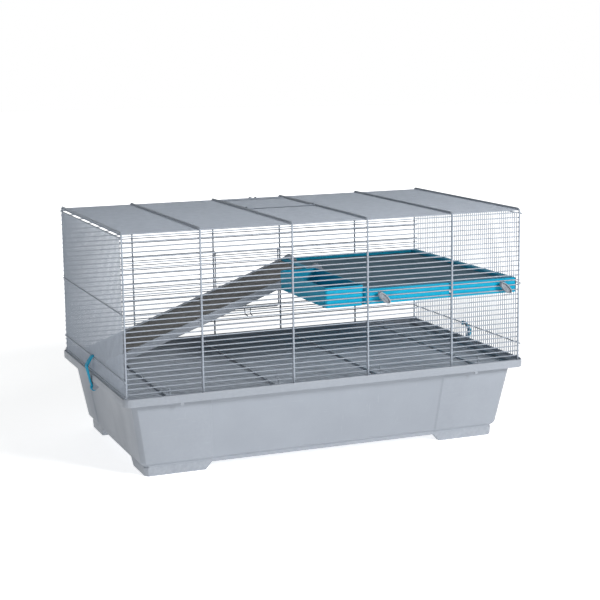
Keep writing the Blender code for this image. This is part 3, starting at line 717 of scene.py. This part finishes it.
def makeHoops(material):
    bm = bmesh.new()
    y, top = cageSize["halfY"], cageSize["roofZ"]
    for x in cageSize["hoops"]:
        corners = [(x, -y, cageSize["footZ"]), (x, -y, top), (x, y, top), (x, y, cageSize["footZ"])]
        path = roundedPath(corners, mm(cage["bend"]), 8)
        wire(bm, path, cageSize["radius"], 14)
    addPiece("hoops", bm, material, "wire_top")


def makeWalls(material):
    for name, node, side, doorway in (("frontWires", "front_panel", -1, None),
                                      ("backWires", "back_panel", 1, cage["backDoorway"])):
        bm = bmesh.new()
        y = side * (cageSize["halfY"] - cageSize["layer"])
        for number in range(cage["wallWires"]):
            longWire(bm, y, wallZ(number), wallRuns(number, doorway), (side, 0))
        addPiece(name, bm, material, "wire_top", [node])


def makeRoof(material):
    bm = bmesh.new()
    for number in range(cage["roofWires"]):
        y, z = underRoof(roofY(number))
        longWire(bm, y, z, wallRuns(number, cage["roofDoorway"]), (0, 1))
    addPiece("roofWires", bm, material, "wire_top", ["roof_panel"])


def makeEnds(material):
    # upright wires between the corner hoops, and four cross wires outside them whose ends stand proud
    across = cageSize["halfX"] + cageSize["layer"]
    upright = across - mm(cage["wireRadius"] + cage["endRadius"] - cage["setDown"])
    inward, stub = mm(cage["weldIn"]), mm(cage["stub"])
    marks = [mm(height) for height in cage["endHeights"]]
    for hand, side in (("left", -1), ("right", 1)):
        bm = bmesh.new()
        for number in range(cage["endWires"]):
            y = mm(cage["endPitch"]) * (number - (cage["endWires"] - 1) / 2)
            low = cageSize["footZ"] + mm(0.4)
            points = [Vector((side * upright, y, low))]
            for high in marks:
                sway = mm(draw.gauss(0, cage["wander"]))
                if high - low > 0.02:
                    points.append(Vector((side * upright, y + sway, (low + high) / 2)))
                points.append(Vector((side * upright, y, high)))
                low = high
            points[-1].z += mm(1.0)
            wire(bm, points, mm(cage["endRadius"]), 8)
            for height in marks:
                bead(bm, (side * (upright + inward), y, height), mm(*cage["endWeld"]))
        for height in marks:
            path = [(side * across, share * stub, height) for share in (-1, -0.98, -0.5, 0, 0.5, 0.98, 1)]
            wire(bm, path, mm(cage["wireRadius"]), 10)
            for end in (-1, 1):
                bead(bm, (side * (across - inward), end * cageSize["halfY"], height), mm(*cage["stubWeld"]))
        addPiece(hand + "EndWires", bm, material, "wire_top", [hand + "_end_panel"])


def makeHingeWires(material):
    # the mesh wire at each doorway's edge, on which the door turns
    bm = bmesh.new()
    for name in ("roof_door_hinge", "back_door_hinge"):
        axis = jointAt(name)
        ends = [(cageSize["hoops"][count], axis.y, axis.z) for count in (2, 3)]
        wire(bm, ends, mm(cage["wireRadius"]), 10)
    addPiece("hingeWires", bm, material, "wire_top")


meshPaint = wireFinish("meshPaint", wirePaint)
makeHingeWires(meshPaint)
makeHoops(meshPaint)
makeWalls(meshPaint)
makeRoof(meshPaint)
makeEnds(meshPaint)
print("wire top made")


# doors
doors = {
    "frame": 1.3, "sideGap": 1.15, "endGap": 0.9, "corner": 6.0, "curl": 2.5,
    "curlBack": 9.0, "curlRise": 4.5, "barOver": 1.8, "barGap": 3.0, "prong": 1.1,
    "prongFeet": ((-6.5, -5.0, 1.5), (6.8, 7.2, 11.5)),   # x at the frame, half way down, and at the tip
    # how far a prong starts above the hinge's level, then its steps: past the frame, and below its crest
    "roof_door": {"root": 0.6, "bend": 2.2, "steps": ((1.0, 0.0), (6.5, 0.0), (11.5, 1.2), (13.0, 1.2))},
    "back_door": {"root": 0.4, "bend": 3.0, "steps": ((1.5, 0.0), (9.0, 0.0), (14.0, 0.0), (17.5, 0.6))},
}


def curlRound(reach):
    # (beside, beyond) points of a side wire that steps out over its hinge wire and curls back round it
    step = [(-mm(doors["curlBack"]), 0.0), (-mm(doors["curlRise"]), reach), (0.0, reach)]
    turns = [math.radians(30 * count) for count in range(1, 9)]
    return step + [(reach * math.sin(turn), reach * math.cos(turn)) for turn in turns]


def makeDoor(name, node, doorway, wireAt, hangs, material):
    # the back door hangs from its hinge; the roof door lies back from it
    axis = jointAt(node + "_hinge")
    inner = cageSize["radius"] + mm(doors["sideGap"] + doors["frame"])
    left, right = cageSize["hoops"][2] + inner, cageSize["hoops"][3] - inner
    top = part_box(node)[1].y - axis.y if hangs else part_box(node)[1].z - axis.z

    def place(x, along, out):
        return (x, axis.y + out, axis.z - along) if hangs else (x, axis.y + along, axis.z + out)

    def fromHinge(number):
        # how far a wall or roof wire lies from the hinge, towards the door's free edge
        return axis.z - wireAt(number) if hangs else wireAt(number) - axis.y

    gap = mm(cage["wireRadius"] + doors["frame"] + doors["endGap"])
    length = max(fromHinge(number) for number in doorway) - gap
    ends = [[place(x, -along, out) for along, out in curlRound(mm(doors["curl"]))] for x in (left, right)]
    corners = [ends[0][0], place(left, length, 0), place(right, length, 0), ends[1][0]]
    outline = ends[0][:0:-1] + roundedPath(corners, mm(doors["corner"])) + ends[1][1:]
    bm = bmesh.new()
    wire(bm, outline, mm(doors["frame"]), 12)
    thin = mm(doors["frame"] + cage["wireRadius"] - cage["setDown"])
    over, clear = mm(doors["barOver"]), mm(doors["barGap"])
    for number in range(doorway[0] + 1, doorway[1]):
        along = fromHinge(number)
        if clear < along < length - clear:
            x, y, z = place(0, along, -thin)
            longWire(bm, y, z, [(left - over, right + over)], (1, 0) if hangs else (0, 1))
    middle, shape = (left + right) / 2, doors[node]
    crest = top - mm(doors["prong"])
    for start, half, tip in doors["prongFeet"]:
        path = [place(middle + mm(start), length, mm(shape["root"]))]
        for x, (past, down) in zip((start, half, half, tip), shape["steps"]):
            path.append(place(middle + mm(x), length + mm(past), crest - mm(down)))
        wire(bm, roundedPath(path, mm(shape["bend"])), mm(doors["prong"]), 8)
    addPiece(name, bm, material, node + "_body", [node])


makeDoor("roofDoorWires", "roof_door", cage["roofDoorway"], roofY, False, meshPaint)
makeDoor("backDoorWires", "back_door", cage["backDoorway"], wallZ, True, meshPaint)
print("doors made")


# floor grate
grate = {
    "node": "floor_grate", "frame": 1.75, "wire": 1.1, "pitch": 9.15, "wires": 48, "sunk": 0.3,
    "wander": (0.07, 0.06), "bar": 1.5, "crossBars": (-306.7, -101.5, 101.5, 306.7),
    "handleBack": 4.5, "handleTop": 162.5, "handleBend": 4.0, "crossPiece": 8.0, "crossUp": 6.5,
    "corner": 9.0,
    # the grate wires are the mesh's powder paint in a paler copy: painted light on a grate that the walls
    # shade
    "paint": {
        "colour": paint(172, 180, 190), "deeper": paint(150, 158, 169), "dustColour": paint(172, 172, 170),
        "drift": 0.6, "dust": 0.15, "gloss": 0.5, "peelScale": 620.0,
    },
}


def makeGrate():
    low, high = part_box(grate["node"])
    bm = bmesh.new()
    thick, thin, sunk = mm(grate["frame"]), mm(grate["wire"]), mm(grate["sunk"])
    x, y, z = high.x - thick, high.y - thick, low.z + thick
    corners = [(0, -y, z), (x, -y, z), (x, y, z), (-x, y, z), (-x, -y, z), (0, -y, z)]
    wire(bm, roundedPath(corners, mm(grate["corner"]))[:-1], thick, 12, closed=True)
    laid, reach = low.z + thin + sunk, x - mm(0.4)
    for number in range(grate["wires"]):
        across = mm(grate["pitch"]) * (number - (grate["wires"] - 1) / 2)
        points = [(-reach, across, laid)]
        for share in range(-4, 5):
            aside, lift = (mm(draw.gauss(0, size)) for size in grate["wander"])
            points.append((reach * share / 5, across + aside, laid + lift))
        points.append((reach, across, laid))
        wire(bm, points, thin, 9)
    over = laid + thin + mm(grate["bar"]) - sunk
    end, peg, reach = y - mm(grate["handleBack"]), mm(grate["handleTop"]), mm(grate["crossPiece"])
    for bar in mm(*grate["crossBars"]):
        path = [(bar, -end, peg), (bar, -end, over), (bar, end, over), (bar, end, peg)]
        wire(bm, roundedPath(path, mm(grate["handleBend"])), mm(grate["bar"]), 12)
        for side in (-1, 1):
            height = over + mm(grate["crossUp"])
            wire(bm, [(bar - reach, side * end, height), (bar + reach, side * end, height)], thin, 9)
    # the grate's paint holds painted light
    addPiece("grateWires", bm, wireFinish("grateLitPaint", grate["paint"]), "base", [grate["node"]])


makeGrate()
print("grate made")


# platform
cyanGloss = {
    "colour": paint(0, 156, 192), "deeper": paint(0, 148, 184), "worn": paint(70, 196, 224),
    "dustColour": paint(110, 170, 186), "drift": 0.6, "scuffs": 0.06, "wear": 0.2, "dust": 0.05,
    "gloss": 0.46, "grainScale": 1500.0, "bump": 0.05, "shine": 0.12,
}

platform = {
    "node": "platform", "border": 14.5, "drop": 5.2, "shell": 2.5, "radius": 8.0, "rise": 0.7,
    "skirtEdge": 0.5, "skirtChamfer": 0.4, "outerRound": 1.8, "innerRound": 1.4, "deckCorner": 2.0,
    "planks": 5, "plankLengths": (96.0, 74.0, 88.0, 68.0, 83.0), "joint": 1.5, "plankChamfer": 0.5,
    "shortest": 8.0, "holeZ": 295.5, "knobHole": 3.4, "spareHole": (246.0, 4.0), "holeDepths": (-4.0, 8.0),
    # the deck is the platform's cyan plastic, painted dark grey-teal: painted shade from the roof wires over
    # it and a painted grey reflection seen at a grazing angle
    "deckShadeFinish": dict(cyanGloss, gloss=0.5, bump=0.3, dust=0.3, scuffs=0.2, grainScale=800.0,
                       dustColour=paint(104, 122, 132), colour=paint(62, 104, 124),
                       deeper=paint(44, 88, 108), worn=paint(110, 140, 152)),
}


def platformHoles():
    knobs = {round(joint["pos_m"][0], 5) for joint in frame["joints"] if "knob" in joint["name"]}
    places = [(x, mm(platform["knobHole"])) for x in sorted(knobs)] + [mm(*platform["spareHole"])]
    return [(x, mm(platform["holeZ"]), radius) for x, radius in places]


def makePlatform():
    low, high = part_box(platform["node"])
    centre = ((low.x + high.x) / 2, 0.0)
    half = ((high.x - low.x) / 2, high.y)
    shell, radius, deckCorner = (mm(platform[key]) for key in ("shell", "radius", "deckCorner"))
    edge, chamfer, outer, inner = (mm(platform[key]) for key in ("skirtEdge", "skirtChamfer", "outerRound",
                                                                 "innerRound"))
    deck = [side - mm(platform["border"]) for side in half]
    floor = high.z - mm(platform["drop"] + platform["rise"])

    def ring(inset, z):
        return roundRing([side - inset for side in half], radius - inset, z, centre)

    def deckRing(inset, z):
        return roundRing([side - inset for side in deck], deckCorner, z, centre)

    rings = [ring(shell, floor - shell), ring(shell, low.z + chamfer), ring(shell - chamfer, low.z),
             ring(edge, low.z), ring(0.0, low.z + edge)]
    rings += [ring(inset, height) for height, inset in arc((high.z - outer, outer), outer, -90, 0, 4)]
    for step in range(5):
        turn = math.radians(90 * step / 4)
        rings.append(deckRing(inner * (math.sin(turn) - 1), high.z - inner * (1 - math.cos(turn))))
    rings += [deckRing(mm(0.3), floor + mm(0.3)), deckRing(mm(0.9), floor)]
    bm = bmesh.new()
    stack(bm, rings)
    bmesh.ops.recalc_face_normals(bm, faces=bm.faces)
    before, beyond = mm(*platform["holeDepths"])
    bm = cutHoles(bm, platformHoles(), low.y + before, low.y + beyond)
    bm = cutHoles(bm, platformHoles(), high.y - beyond, high.y - before)
    addPiece("platformShell", bm, plasticFinish("platformPlastic", cyanGloss), "wire_top",
             [platform["node"]], sharp=35)
    makePlanks(centre[0], deck, floor, high.z - mm(platform["drop"]))


def makePlanks(middle, deck, floor, top):
    # boards laid across the deck in rows, with staggered joints
    bm = bmesh.new()
    width = 2 * deck[0] / platform["planks"]
    gap = mm(platform["joint"] / 2)
    for number in range(platform["planks"]):
        left = middle - deck[0] + width * number
        y = -deck[1] - mm(draw.uniform(5, 60))
        index = number
        while y < deck[1]:
            length = mm(platform["plankLengths"][index % 5])
            start, end = max(y, -deck[1]), min(y + length, deck[1])
            if end - start > mm(platform["shortest"]):
                block(bm, (left + gap, start + gap, floor - mm(0.4)), (left + width - gap, end - gap, top),
                      mm(platform["plankChamfer"]))
            y += length
            index += 1
    # the planks carry the deck colours with painted shade and painted reflection
    addPiece("deckPlanks", bm, plasticFinish("deckShadePlastic", platform["deckShadeFinish"]), "wire_top",
             sharp=30)


makePlatform()
print("platform made")


# trough
trough = {
    "node": "feeding_trough", "wall": 2.5, "radius": 6.0, "innerRadius": 8.0, "taper": 1.0,
    "footRound": 2.2, "floorRound": 4.0, "gap": 0.5, "lipInset": 12.0, "lipUp": 0.3,
    "rim": ((0.0, 0.7), (0.2, 0.2), (0.7, 0.0), (1.9, 0.0), (2.4, 0.2), (2.5, 0.8)),   # inset and drop
    # the lip that hangs on the platform: out from its border, and up
    "lip": ((-1.5, 0.0), (9.0, 0.0), (10.0, 0.6), (10.0, 1.4), (9.0, 2.2), (-1.5, 2.2)),
    "finish": dict(cyanGloss, dust=0.14, scuffs=0.16),
}


def makeTrough():
    low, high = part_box(trough["node"])
    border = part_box("platform")
    wall, taper, foot, bend = (mm(trough[key]) for key in ("wall", "taper", "footRound", "floorRound"))
    radius, innerRadius = mm(trough["radius"], trough["innerRadius"])
    right = border[0].x - mm(trough["gap"])
    centre = ((low.x + right) / 2, (low.y + high.y) / 2)
    half = ((right - low.x) / 2, (high.y - low.y) / 2)

    def ring(inset, z, corner=radius):
        return roundRing([side - inset for side in half], max(corner - inset, mm(0.8)), z, centre)

    turns = [math.radians(90 * step / 4) for step in range(5)]
    rings = [ring(taper + foot * (1 - math.sin(turn)), low.z + foot * (1 - math.cos(turn)))
             for turn in turns]
    rings += [ring(mm(inset), high.z - mm(below)) for inset, below in trough["rim"]]
    rings.append(ring(wall + taper, low.z + wall + bend))
    rings += [ring(wall + taper + bend * (1 - math.cos(turn)), low.z + wall + bend * (1 - math.sin(turn)),
                   innerRadius) for turn in turns[1:]]
    bm = bmesh.new()
    stack(bm, rings)
    lipLow = border[1].z + mm(trough["lipUp"])
    outline = [(right + mm(out), lipLow + mm(up)) for out, up in trough["lip"]]
    inset = mm(trough["lipInset"])
    prism(bm, outline, low.y + inset, high.y - inset)
    addPiece("troughShell", bm, plasticFinish("troughPlastic", trough["finish"]), "trough_body",
             [trough["node"]], sharp=35)


makeTrough()
print("trough made")


# ramp
ramp = {
    "node": "ramp", "slope": 0.3636, "railDepth": 16.0, "railWidth": 4.0,
    "treadTop": 3.2, "treadBottom": 6.0, "brick": (31.0, 15.5), "joint": 1.3, "relief": 0.9,
    "rough": 0.55, "shortest": 5.0,
    "toe": (4.0, 3.0, 2.0, 14.0),   # how far back its lower and upper points are, and the front's two depths
    # a rail's end past the platform's edge: the finger's points over the deck, the hump's over the border
    "seat": ((-0.6, 0.3), (15.6, 0.3)), "finger": ((16.6, 0.6), (33.0, 0.25), (34.6, 0.8), (34.0, 2.0)),
    "hump": ((26.5, 5.4), (21.5, 9.0), (17.2, 10.6), (13.5, 9.6), (10.5, 7.2)),
    "railFinish": {
        "colour": paint(158, 165, 175), "deeper": paint(146, 153, 163), "worn": paint(196, 200, 206),
        "dustColour": paint(170, 166, 160), "drift": 0.7, "scuffs": 0.3, "wear": 0.35, "dust": 0.18,
        "gloss": 0.42, "grainScale": 900.0, "bump": 0.2,
    },
    # the tread is the rails' grey plastic painted darker and browner: painted shade from the roof above it
    "treadShadeFinish": {
        "colour": paint(112, 109, 106), "deeper": paint(88, 87, 87), "worn": paint(138, 137, 136),
        "dustColour": paint(132, 131, 130), "drift": 1.0, "scuffs": 0.3, "wear": 0.5, "dust": 0.25,
        "gloss": 0.62, "grainScale": 420.0, "bump": 0.7,
    },
}


def rampLine(x, below=0.0):
    # the height of the rails' upper edge at x, or that far below it
    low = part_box(ramp["node"])[0]
    return low.z + mm(ramp["railDepth"]) + ramp["slope"] * (x - low.x) - mm(below)


def makeRails(low, high):
    edge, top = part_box("platform")[0].x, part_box("platform")[1].z
    deckTop = top - mm(platform["drop"])
    toeLow, toeHigh, toeTop, toeFoot = ramp["toe"]
    seat, depth = edge + mm(ramp["seat"][0][0]), ramp["railDepth"]
    outline = [(low.x + mm(toeLow), rampLine(low.x, depth)), (seat, rampLine(seat, depth))]
    outline += [(edge + mm(out), top + mm(up)) for out, up in ramp["seat"]]
    outline += [(edge + mm(out), deckTop + mm(up)) for out, up in ramp["finger"]]
    outline += [(edge + mm(out), top + mm(up)) for out, up in ramp["hump"]]
    outline += [(seat, rampLine(seat)), (low.x + mm(toeHigh), rampLine(low.x + mm(toeHigh))),
                (low.x, rampLine(low.x, toeTop)), (low.x, rampLine(low.x, toeFoot))]
    width = mm(ramp["railWidth"])
    bm = bmesh.new()
    for y in (low.y, high.y - width):
        prism(bm, outline, y, y + width)
    addPiece("rampRails", bm, plasticFinish("rampPlastic", ramp["railFinish"]), "ramp_body",
             [ramp["node"]], sharp=35, edge=mm(0.6))


def makeTread(low, high):
    # a plate between the rails with rows of bricks on it
    bm = bmesh.new()
    start, end = low.x + mm(1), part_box("platform")[0].x - mm(2.5)
    base, bottom = ramp["treadTop"] + ramp["relief"], ramp["treadBottom"]
    outline = [(start, rampLine(start, bottom)), (end, rampLine(end, bottom)),
               (end, rampLine(end, base)), (start, rampLine(start, base))]
    prism(bm, outline, low.y + mm(1), high.y - mm(1))
    length, deep = mm(*ramp["brick"])
    width, gap, first = mm(ramp["railWidth"], ramp["joint"] / 2, 2)
    inner, outer = low.y + width, high.y - width
    rows = round((outer - inner) / deep)
    deep = (outer - inner) / rows
    for row in range(rows):
        x = low.x + first - length * (0.5 if row % 2 else 0.0) + mm(draw.uniform(-3, 3))
        while x < end - mm(4):
            left, right = max(x, low.x + first), min(x + length, end)
            if right - left > mm(ramp["shortest"]):
                near = inner + deep * row
                addBrick(bm, left + gap, right - gap, near + gap, near + deep - gap)
            x += length
    # the tread's colours hold painted shade
    addPiece("rampTread", bm, plasticFinish("treadShadePlastic", ramp["treadShadeFinish"]), "ramp_body",
             sharp=30)


def addBrick(bm, left, right, near, far):
    # a raised stone with uneven corners on the slope
    uneven = ramp["rough"]
    corners = [(left, near), (right, near), (right, far), (left, far)]
    corners = [(x + mm(draw.uniform(-uneven, uneven)), y + mm(draw.uniform(-uneven, uneven) * 0.6))
               for x, y in corners]
    middle = Vector(((left + right) / 2, (near + far) / 2))
    top, height = ramp["treadTop"], draw.uniform(-0.12, 0.2)
    rings = []
    for below, shrink in ((top + ramp["relief"] + 0.3, 0.0), (top + 0.35, 0.0), (top - height, mm(0.6))):
        ring = []
        for x, y in corners:
            inward = (middle - Vector((x, y))).normalized() * shrink
            ring.append((x + inward.x, y + inward.y, rampLine(x + inward.x, below)))
        rings.append(ring)
    stack(bm, rings)


makeRails(*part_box(ramp["node"]))
makeTread(*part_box(ramp["node"]))
print("ramp made")


# clips
clip = {
    "width": 11.0, "flare": 6.0, "flareSpan": 26.0, "tipWidth": 6.5, "thick": 2.6, "round": 0.55,
    "gap": 0.5, "crownGap": 0.7, "hookZ": 187.2, "hookHalf": 2.6, "hookDrop": 6.3, "tipPast": 0.6,
    "bend": 2.4,
    "path": ((12.2, 42.5), (7.8, 22.5), (5.6, 11.5)),   # out and up from the lug bar, down from the kink
    "curl": (55, 190), "ridge": ((12.7, 40.5), (9.9, 27.0)), "ridgeSide": 3.6, "ridgeRadius": 0.55,
    "finish": dict(cyanGloss, colour=paint(0, 150, 188), deeper=paint(0, 140, 178), wear=0.3),
}


def strap(bm, path, widths):
    # a flat band with rounded corners, wide along y
    half, cut = mm(clip["thick"] / 2, clip["round"])
    rings = []
    for i, (point, width) in enumerate(zip(path, widths)):
        before, after = path[max(i - 1, 0)], path[min(i + 1, len(path) - 1)]
        along = (after - before).normalized()
        normal = Vector((along.z, 0, -along.x))
        side = mm(width / 2)
        section = [(half, -side + cut), (half, side - cut), (half - cut, side), (-half + cut, side),
                   (-half, side - cut), (-half, -side + cut), (-half + cut, -side), (half - cut, -side)]
        rings.append([point + normal * a + Vector((0, b, 0)) for a, b in section])
    stack(bm, rings)


def makeClip(name, node, side, material):
    pivot = jointAt(node + "_hinge")
    reach = mm(tray["lugBar"] + clip["gap"] + clip["thick"] / 2)
    crown = cageSize["halfX"] + cageSize["radius"] + mm(clip["crownGap"])
    hookZ, hookHalf, hookDrop = mm(clip["hookZ"], clip["hookHalf"], clip["hookDrop"])

    def place(out, up):
        return Vector((side * (abs(pivot.x) + out), 0, pivot.z + up))

    corners = [Vector((side * (crown - hookHalf), 0, hookZ - hookDrop)),
               Vector((side * (crown - hookHalf), 0, hookZ)), Vector((side * (crown + hookHalf), 0, hookZ))]
    corners += [place(*mm(*point)) for point in clip["path"]]
    start, sweptBy = clip["curl"]
    turns = [math.radians(start - sweptBy * step / 12) for step in range(13)]
    curl = [place(reach * math.cos(turn), reach * math.sin(turn)) for turn in turns]
    path = roundedPath(corners + [curl[0]], mm(clip["bend"]), 4)[:-1]
    kink = pivot.z + mm(clip["path"][0][1])
    widths = []
    for point in path:
        flare = max(0.0, 1 - abs(point.z - kink) / mm(clip["flareSpan"]))
        tip = abs(point.x) < crown + mm(clip["tipPast"])
        widths.append(clip["tipWidth"] if tip else clip["width"] + clip["flare"] * flare)
    bm = bmesh.new()
    strap(bm, path + curl, widths + [clip["width"]] * len(curl))
    for end in (-1, 1):
        aside = Vector((0, end * mm(clip["ridgeSide"]), 0))
        wire(bm, [place(*mm(*point)) + aside for point in clip["ridge"]], mm(clip["ridgeRadius"]), 6)
    addPiece(name, bm, material, node + "_body", [node], sharp=40)


clipPlastic = plasticFinish("clipPlastic", clip["finish"])
makeClip("clipLeft", "clip_left", -1, clipPlastic)
makeClip("clipRight", "clip_right", 1, clipPlastic)
print("clips made")


# turn-knobs
knob = {
    "length": 30.0, "width": 12.5, "tilt": 44.0, "squareness": 0.86, "gap": 0.3,
    # growth of the oval and distance out from the wires, up the rim and down into the hollow
    "profile": ((-1.0, 0.0), (-0.4, 0.15), (-0.1, 0.8), (0.0, 2.2), (-0.2, 7.1), (-0.6, 8.1), (-1.2, 8.5),
                (-1.8, 8.5), (-2.1, 8.1), (-2.4, 3.9)),
    "ribs": (-1.9, 0.0, 1.9), "ribRadius": 0.85, "ribOut": 4.6, "ribEnd": 3.6, "ribTaper": 0.9,
    "nose": ((-13.2, 3.5), (-13.0, 6.8)), "noseRadius": 1.7, "spindle": (1.0, -13.4), "spindleRadius": 3.0,
    "finish": {
        "colour": paint(146, 154, 163), "deeper": paint(128, 136, 145), "worn": paint(200, 203, 208),
        "dustColour": paint(160, 158, 154), "drift": 0.7, "scuffs": 0.25, "wear": 0.5, "dust": 0.12,
        "gloss": 0.4, "grainScale": 900.0, "bump": 0.15,
    },
}


def makeKnob(name, node, side, material):
    pivot = jointAt(node + "_turn")
    face = cageSize["halfY"] + cageSize["radius"] + mm(knob["gap"])
    tilt = math.radians(knob["tilt"]) * side
    long, short = Vector((math.cos(tilt), math.sin(tilt))), Vector((-math.sin(tilt), math.cos(tilt)))

    def place(along, across, out):
        spot = (long * along + short * across) / 1000
        return Vector((pivot.x + spot.x, side * (face + mm(out)), pivot.z + spot.y))

    def oval(grow, out, sides=36):
        ring = []
        for turn in (2 * math.pi * i / sides for i in range(sides)):
            c, s = (math.copysign(abs(part) ** knob["squareness"], part)
                    for part in (math.cos(turn), math.sin(turn)))
            ring.append(place(c * (knob["length"] / 2 + grow), s * (knob["width"] / 2 + grow), out))
        return ring[::side]

    bm = bmesh.new()
    stack(bm, [oval(grow, out) for grow, out in knob["profile"]])
    for across in knob["ribs"]:
        reach = knob["length"] / 2 - knob["ribEnd"] - abs(across) * knob["ribTaper"]
        path = [place(share * reach, across, knob["ribOut"]) for share in (-1, -0.5, 0, 0.5, 1)]
        wire(bm, path, mm(knob["ribRadius"]), 8)
    wire(bm, [place(along, 0, out) for along, out in knob["nose"]], mm(knob["noseRadius"]), 12)
    wire(bm, [place(0, 0, out) for out in knob["spindle"]], mm(knob["spindleRadius"]), 16)
    addPiece(name, bm, material, node + "_body", [node], sharp=40)


knobPlastic = plasticFinish("knobPlastic", knob["finish"])
for end, side in (("front", -1), ("rear", 1)):
    for hand in ("left", "right"):
        node = f"{end}_knob_{hand}"
        makeKnob(end + hand.capitalize() + "Knob", node, side, knobPlastic)
print("knobs made")
